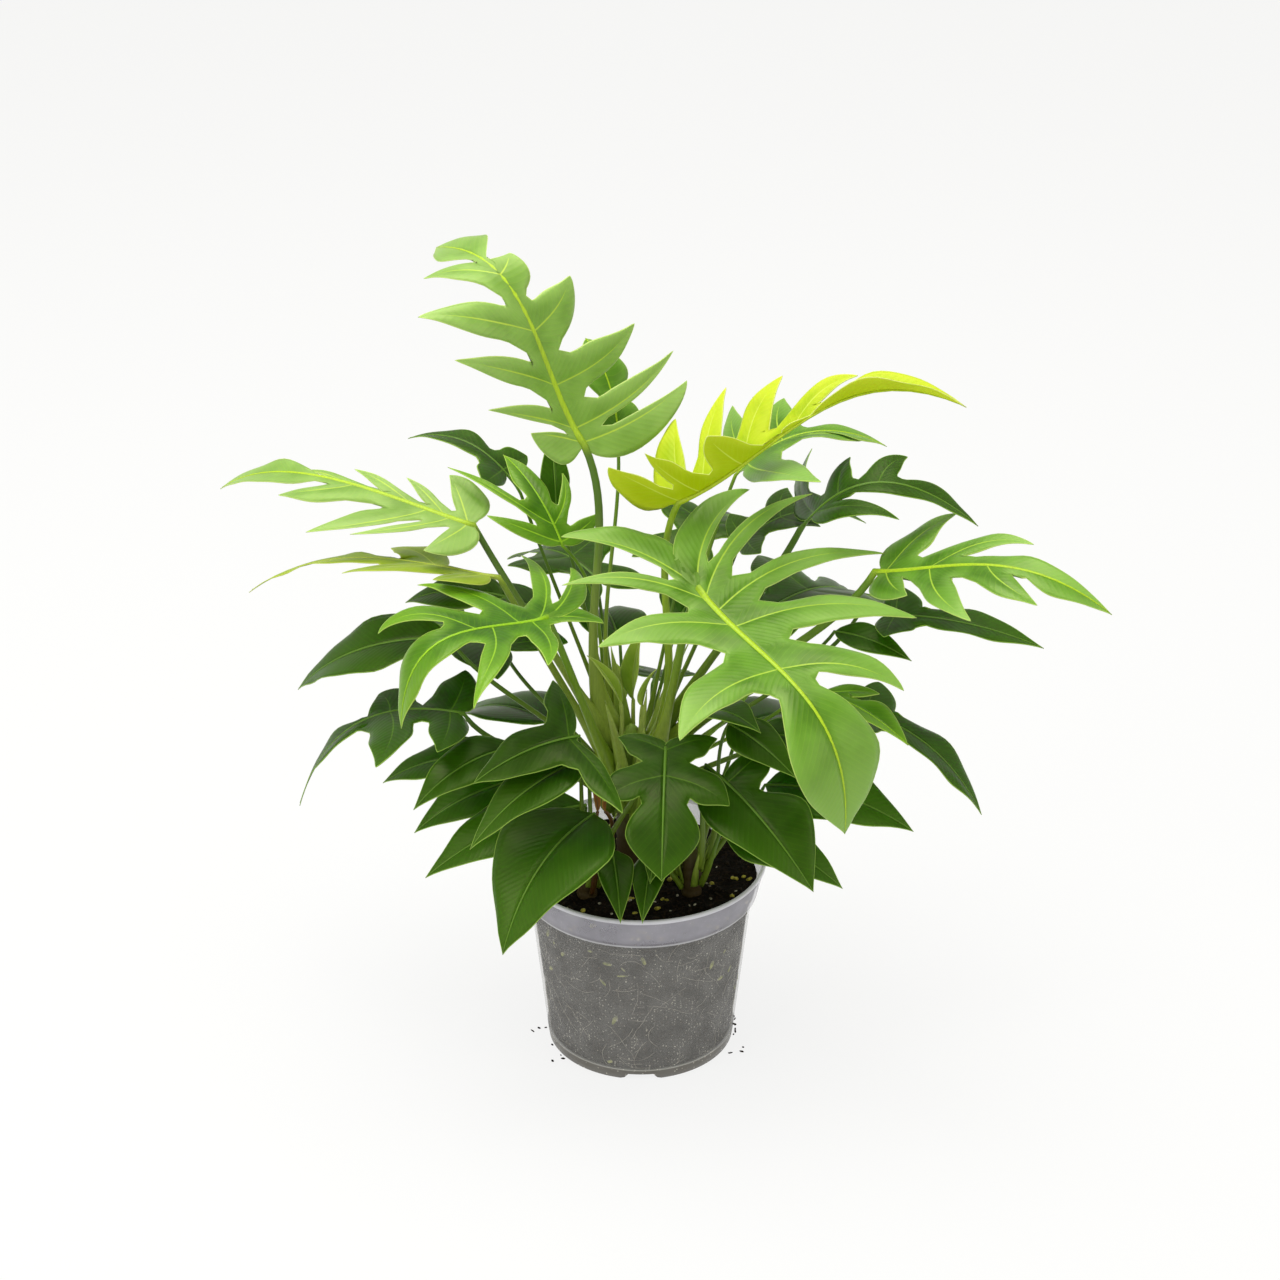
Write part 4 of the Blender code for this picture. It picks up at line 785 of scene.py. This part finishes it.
body = paint(tree, "#A9A8A4", (
    ("#C6C4CE", zones["collar"]), ("#5C584E", zones["foot"]), ("#DCDCE2", zones["lip"]),
    ("#C8C8CC", zones["stepLine"]), ("#A8A79C", zones["floorLine"]), ("#D6D2C4", zones["specks"])))
bump = addNode(tree, "ShaderNodeBump", {"Strength": 0.1, "Distance": 0.0003}, {"Height": drift}).outputs[0]
finishMaterial(tree, {"Roughness": 0.3, "Specular IOR Level": 0.4},
               {"Base Color": body, "Alpha": alpha, "Normal": bump})

v = potValues
step, foot, inside = v["height"] - v["collar"], potRadius(0) - v["foot"], v["rim"] - v["lipWall"]
profile = [(0, v["floor"]), (foot * 0.5, v["floor"]), (foot - 1, v["floor"]), (foot - 0.4, v["notchHeight"])]
profile += [(foot, 0.6), (foot + 0.8, 0), (v["base"] - 0.8, 0), (v["base"], 0.6)]
profile += [(potRadius(z), z) for z in (v["notchHeight"], v["floor"], 20, 45, 70, 95, step - 0.6)]
profile += [(v["collarFoot"] - 0.5, step), (v["collarFoot"], step + 0.8)]
profile += [(v["collarMiddle"][0], step + v["collarMiddle"][1])]
profile += [(v["rim"] - back, v["height"] - down) for back, down in (
    (0.9, v["lip"]), (0, v["lip"] - 0.6), (0, 0.8), (0.3, 0.25), (0.8, 0))]
profile += [(inside + 0.8, v["height"]), (inside, v["height"] - 0.8), (innerRadius(step + 2.2), step + 2.2)]
profile += [(potRadius(step) - v["wall"], step + 0.6)]
profile += [(potRadius(v["floor"]) - v["wall"], v["floor"] + v["wall"])]
profile += [(foot * 0.5, v["floor"] + v["wall"]), (0, v["floor"] + v["wall"])]
bm = turned(profile, v["steps"])
for vert in bm.verts:
    if vert.co.z > v["notchHeight"] or vert.co.to_2d().length < foot - 0.5:
        continue
    for k in range(v["notches"]):
        turn = 2 * pi * k / v["notches"]
        along = abs(vert.co.x * cos(turn) + vert.co.y * sin(turn))
        ahead = vert.co.x * sin(turn) - vert.co.y * cos(turn)
        if ahead > 0 and along < v["notchWidth"] / 2:
            rise = min((v["notchWidth"] / 2 - along) / v["notchSlope"], 1)
            vert.co.z = max(vert.co.z, v["notchHeight"] * rise)
addPiece("nursery_pot", bm, [potPlastic], "pot")

# Sphagnum peat: nearly black when damp, fibrous, with dull crumbs 1 to 4 mm across.
peat, tree = newMaterial("dampPeat")
place = addNode(tree, "ShaderNodeTexCoord").outputs["Object"]
crumbs = addNode(tree, "ShaderNodeTexNoise", {"Scale": 420.0, "Detail": 5.0, "Roughness": 0.65},
                 {"Vector": place}).outputs["Fac"]
tufts = addNode(tree, "ShaderNodeTexVoronoi", {"Scale": 260.0}, {"Vector": place}).outputs["Distance"]
body = paint(tree, "#0C0805", (("#35261A", crumbs, 0.45, 0.72, 0.0, 1.0),
                               ("#6B5238", crumbs, 0.66, 0.74, 0.0, 0.8)))
relief = addNode(tree, "ShaderNodeMath", {"operation": "ADD"}, {0: crumbs, 1: tufts}).outputs[0]
bump = addNode(tree, "ShaderNodeBump", {"Strength": 0.9, "Distance": 0.0015}, {"Height": relief}).outputs[0]
finishMaterial(tree, {"Roughness": 0.95, "Specular IOR Level": 0.15}, {"Base Color": body, "Normal": bump})

w = peatValues
soilTop = bladeValues["soilTop"]
bottom = v["floor"] + v["wall"] + 0.4
profile = [(0, bottom), (40, bottom)]
profile += [(innerRadius(z) - w["gap"], z) for z in np.linspace(w["low"], w["edge"], w["wallRings"])]
profile += [(r, soilTop - 0.4) for r in np.linspace(innerRadius(w["edge"]) - w["gap"] - 1.2, 0, w["rings"])]
bm = turned(profile, v["steps"])
for vert in bm.verts:
    spot = Vector(vert.co)
    lump = noise.noise(spot / w["clumpSize"]) * w["clump"] + noise.noise(spot / w["grainSize"]) * w["grain"]
    reach = spot.to_2d().length
    if spot.z > w["edge"] + 0.5:
        vert.co.z += min(lump, w["most"]) - 0.8 - w["sink"] * (reach / v["rim"]) ** 4
    elif spot.z > 9.5:
        vert.co.x -= spot.x / reach * max(lump, 0) * 0.5
        vert.co.y -= spot.y / reach * max(lump, 0) * 0.5
addPiece("peat", bm, [peat], "soil")

# Shoot of the plant: green and fleshy above, dark brown lower down, ringed with leaf scars 8 mm apart.
shootSkin, tree = newMaterial("shootBark")
place = addNode(tree, "ShaderNodeTexCoord").outputs["Object"]
height = addNode(tree, "ShaderNodeSeparateXYZ", None, {"Vector": place}).outputs["Z"]
patches = addNode(tree, "ShaderNodeTexNoise", {"Scale": 180.0, "Detail": 4.0},
                  {"Vector": place}).outputs["Fac"]
body = paint(tree, "#4A3C1C", (("#6F8A2C", height, 0.14, 0.21, 0.0, 1.0),
                               ("#4A3A1E", patches, 0.45, 0.7, 0.0, 0.7)))
bump = addNode(tree, "ShaderNodeBump", {"Strength": 0.4, "Distance": 0.0006}, {"Height": patches}).outputs[0]
finishMaterial(tree, {"Roughness": 0.6, "Specular IOR Level": 0.3}, {"Base Color": body, "Normal": bump})

w = shootValues
for name, shoot in shoots.items():
    radius, tall = shoot["radius"], shoot["height"] + w["neck"]
    profile = [(0, -w["root"]), (radius * 0.7, -w["root"])]
    for k in range(w["rings"] + 1):
        up = tall * k / w["rings"]
        scar = exp(-(((up % w["scarSpacing"]) - 4) / w["scarWidth"]) ** 2) * w["scarDepth"]
        close = max(1 - (up / tall) ** 7, 0.02) ** 0.5
        profile.append(((radius * 0.97 - scar) * close, up - w["neck"]))
    profile.append((0, shoot["height"]))
    bm = turned(profile, w["steps"])
    bmesh.ops.translate(bm, vec=(*shoot["at"], soilTop), verts=bm.verts)
    addPiece("shoot_" + name, bm, [shootSkin], "stem_" + name)

sheathValues = {"rows": 16, "columns": 6, "thickness": 0.7, "cup": 0.5}
sheathSets = {
    "main": {"count": 11, "low": (34, 84), "length": (62, 104), "width": (4.0, 7.5), "lean": (0.10, 0.34)},
    "left": {"count": 5, "low": (6, 26), "length": (22, 44), "width": (2.4, 4.0), "lean": (0.1, 0.4)},
    "right": {"count": 5, "low": (6, 20), "length": (22, 40), "width": (2.4, 4.0), "lean": (0.1, 0.4)},
}


def addSheath(bm, shoot, bearing, low, length, width, lean):
    # a pointed leaf sheath, cupped round the shoot and leaning away from it
    v = sheathValues
    out, side = Vector((cos(bearing), sin(bearing), 0)), Vector((-sin(bearing), cos(bearing), 0))
    middle = Vector((*shoot["at"], soilTop + low)) + out * (shoot["radius"] + 1.0)
    made = bmesh.ops.create_grid(bm, x_segments=v["columns"], y_segments=v["rows"], size=1)["verts"]
    layer = bm.verts.layers.float["ribness"]
    for index, vert in enumerate(made):
        i, j = index % (v["columns"] + 1), index // (v["columns"] + 1)
        s, c = j / v["rows"], i / v["columns"] * 2 - 1
        half = width * (1 - s ** 1.7)
        vert.co = middle + side * (half * c) - out * (v["cup"] * half * c * c)
        vert.co += out * (lean * length * s ** 1.5) + Vector((0, 0, length * s))
        vert[layer] = -0.9 + 0.8 * s
    bmesh.ops.remove_doubles(bm, verts=made, dist=0.01)


for name, plan in sheathSets.items():
    draw = random.Random(5)
    bm = bmesh.new()
    bm.verts.layers.float.new("ribness")
    for k in range(plan["count"]):
        bearing = 2 * pi * (k * 0.382 + draw.uniform(-0.04, 0.04))  # each follows by the golden angle
        addSheath(bm, shoots[name], bearing, *[draw.uniform(*plan[text])
                                               for text in ("low", "length", "width", "lean")])
    bmesh.ops.solidify(bm, geom=bm.faces[:], thickness=sheathValues["thickness"])
    bmesh.ops.recalc_face_normals(bm, faces=bm.faces)
    addPiece("sheaths_" + name, bm, [stalks["sheath"]], None)

print("prills, perlite, flakes and roots")

draw = random.Random(11)


def grainMaterial(name, first, second, roughness):
    material, tree = newMaterial(name)
    place = addNode(tree, "ShaderNodeTexCoord").outputs["Object"]
    mottle = addNode(tree, "ShaderNodeTexNoise", {"Scale": 350.0, "Detail": 3.0},
                     {"Vector": place}).outputs["Fac"]
    body = paint(tree, first, ((second, mottle, 0.35, 0.65, 0.0, 1.0),))
    bump = addNode(tree, "ShaderNodeBump", {"Strength": 0.3, "Distance": 0.0004},
                   {"Height": mottle}).outputs[0]
    finishMaterial(tree, {"Roughness": roughness, "Specular IOR Level": 0.3},
                   {"Base Color": body, "Normal": bump})
    return material


prillCoat = grainMaterial("resinCoatedPrill", "#8A8028", "#CCC050", 0.35)  # waxy resin shell, olive to tan
perliteStone = grainMaterial("expandedPerlite", "#8E8672", "#D8D2C2", 0.9)  # chalky white, stained by peat
peatCrumb = grainMaterial("peatCrumb", "#0B0805", "#2E2116", 0.95)  # damp and fibrous, nearly black
barkFlake = grainMaterial("paleBarkFlake", "#747A48", "#B0B07C", 0.8)  # dry, fibrous, yellow-green
rootSkin = grainMaterial("paleRoot", "#A8A090", "#D6D0C0", 0.6)  # smooth white root, slightly tan


def addGrain(bm, place, size, detail):
    # a lumpy grain; size is half its length, width and thickness in mm
    stretch = Matrix.Diagonal((*size, 1))
    verts = bmesh.ops.create_icosphere(bm, subdivisions=detail, radius=1.0, matrix=stretch)["verts"]
    shift = draw.uniform(0, 50)
    for vert in verts:
        vert.co *= 1 + 0.35 * noise.noise(vert.co / max(size) * 1.6 + Vector((shift, 0, 0)))
    bmesh.ops.transform(bm, matrix=place, verts=verts)


def topPlace(most):
    # a place on the peat, clear of the shoots
    w = peatValues
    while True:
        x, y = draw.uniform(-most, most), draw.uniform(-most, most)
        away = min(Vector((x - s["at"][0], y - s["at"][1])).length - s["radius"] for s in shoots.values())
        if Vector((x, y)).length < most and away > 3:
            break
    lump = noise.noise(Vector((x, y, soilTop - 0.4)) / w["clumpSize"]) * w["clump"]
    spot = Vector((x, y, soilTop))
    spot.z += min(lump, w["most"]) - 1.0 - w["sink"] * (spot.to_2d().length / potValues["rim"]) ** 4
    return spot


def turnedPlace(spot, tilt):
    turn = Matrix.Rotation(draw.uniform(0, 2 * pi), 4, "Z")
    return Matrix.Translation(spot) @ (turn @ Matrix.Rotation(draw.uniform(-tilt, tilt), 4, "X"))


def wallPlace(z, inset):
    # a place just inside the wall, its thin side towards the wall
    angle = draw.uniform(0, 2 * pi)
    spot = Vector((cos(angle), sin(angle), 0)) * (innerRadius(z) - inset) + Vector((0, 0, z))
    facing = Matrix.Rotation(angle + pi / 2, 4, "Z") @ Matrix.Rotation(pi / 2, 4, "X")
    return Matrix.Translation(spot) @ facing @ Matrix.Rotation(draw.uniform(0, pi), 4, "Z")


# spread: how far out on the peat, with its tilt; heights: where behind the wall, with its inset.
# size in mm as for addGrain, each drawn between two numbers or fixed
bits = {
    "slow_release_prills": dict(material=prillCoat, count=64, spread=76, tilt=0.4, detail=2,
                                size=((1.6, 2.6), (1.2, 1.7), (1.1, 1.5))),
    "perlite_on_peat": dict(material=perliteStone, count=60, spread=77, tilt=1.0, detail=1,
                            size=((0.6, 1.7), (0.5, 1.2), (0.5, 1.0))),
    "peat_crumbs": dict(material=peatCrumb, count=190, spread=77, tilt=1.0, detail=1,
                        size=((1.0, 3.2), (0.8, 2.0), (0.6, 1.4))),
    "bark_flakes": dict(material=barkFlake, count=46, heights=(10, 112), inset=0.35, detail=2,
                        size=((1.6, 4.6), (0.7, 1.7), 0.3)),
    "perlite_at_wall": dict(material=perliteStone, count=420, heights=(9, 122), inset=0.4, detail=1,
                            size=((0.25, 0.9), (0.2, 0.6), 0.3)),
    "perlite_in_collar": dict(material=perliteStone, count=46, heights=(118, 124.5), inset=0.3, detail=2,
                              size=((1.0, 2.6), (0.8, 2.0), 0.7)),
}
for name, bit in bits.items():
    bm = bmesh.new()
    for k in range(bit["count"]):
        if "spread" in bit:
            place = turnedPlace(topPlace(bit["spread"]), bit["tilt"])
        else:
            place = wallPlace(draw.uniform(*bit["heights"]), bit["inset"])
        size = [draw.uniform(*part) if isinstance(part, tuple) else part for part in bit["size"]]
        addGrain(bm, place, size, bit["detail"])
    addPiece(name, bm, [bit["material"]], None)

rootValues = {"count": 190, "radius": 0.14, "points": 14, "sides": 4, "low": 9, "high": 113, "inset": 0.3}


def addRoot(bm):
    # a thin root wandering over the inside of the wall, as a wrapped and closed sheet
    v = rootValues
    angle, z = draw.uniform(0, 2 * pi), draw.uniform(12, 108)
    heading, turn = draw.uniform(0, 2 * pi), draw.uniform(-0.1, 0.1)
    stride = draw.uniform(0.5, 2.6)
    path = []
    for k in range(v["points"]):
        path.append(Vector((cos(angle), sin(angle), 0)) * (innerRadius(z) - v["inset"]) + Vector((0, 0, z)))
        heading += turn + draw.uniform(-0.22, 0.22)
        angle += cos(heading) * stride / innerRadius(z)
        z = min(max(z + sin(heading) * stride, v["low"]), v["high"])
    rings = v["points"] + 2
    made = bmesh.ops.create_grid(bm, x_segments=rings - 1, y_segments=v["sides"], size=1)["verts"]
    for index, vert in enumerate(made):
        i, j = index % rings, index // rings
        k = min(max(i - 1, 0), v["points"] - 1)
        ahead = (path[min(k + 1, len(path) - 1)] - path[max(k - 1, 0)]).normalized()
        out = Vector((path[k].x, path[k].y, 0)).normalized()
        side = ahead.cross(out).normalized()
        size = 0 if i in (0, rings - 1) else v["radius"]
        a = 2 * pi / v["sides"] * (j % v["sides"])
        vert.co = path[k] + size * (cos(a) * side + sin(a) * out)
    bmesh.ops.remove_doubles(bm, verts=made, dist=0.002)


bm = bmesh.new()
for k in range(rootValues["count"]):
    addRoot(bm)
bmesh.ops.recalc_face_normals(bm, faces=bm.faces)
addPiece("pale_roots", bm, [rootSkin], None)

spilledValues = {"count": 18, "near": (1, 3), "far": (4, 13), "size": ((0.6, 2.2), (0.4, 0.9), (0.4, 0.8))}
bm = bmesh.new()
for k in range(spilledValues["count"]):
    angle = draw.choice((draw.uniform(-0.5, 0.3), draw.uniform(-0.2, 0.2), draw.uniform(3.1, 3.8)))
    r = potValues["base"] + draw.uniform(*spilledValues["near" if k % 3 else "far"])
    size = [draw.uniform(*part) for part in spilledValues["size"]]
    addGrain(bm, turnedPlace(Vector((r * cos(angle), r * sin(angle), size[2])), 0.2), size, 1)
newObject("spilled_peat", bm, [peatCrumb])
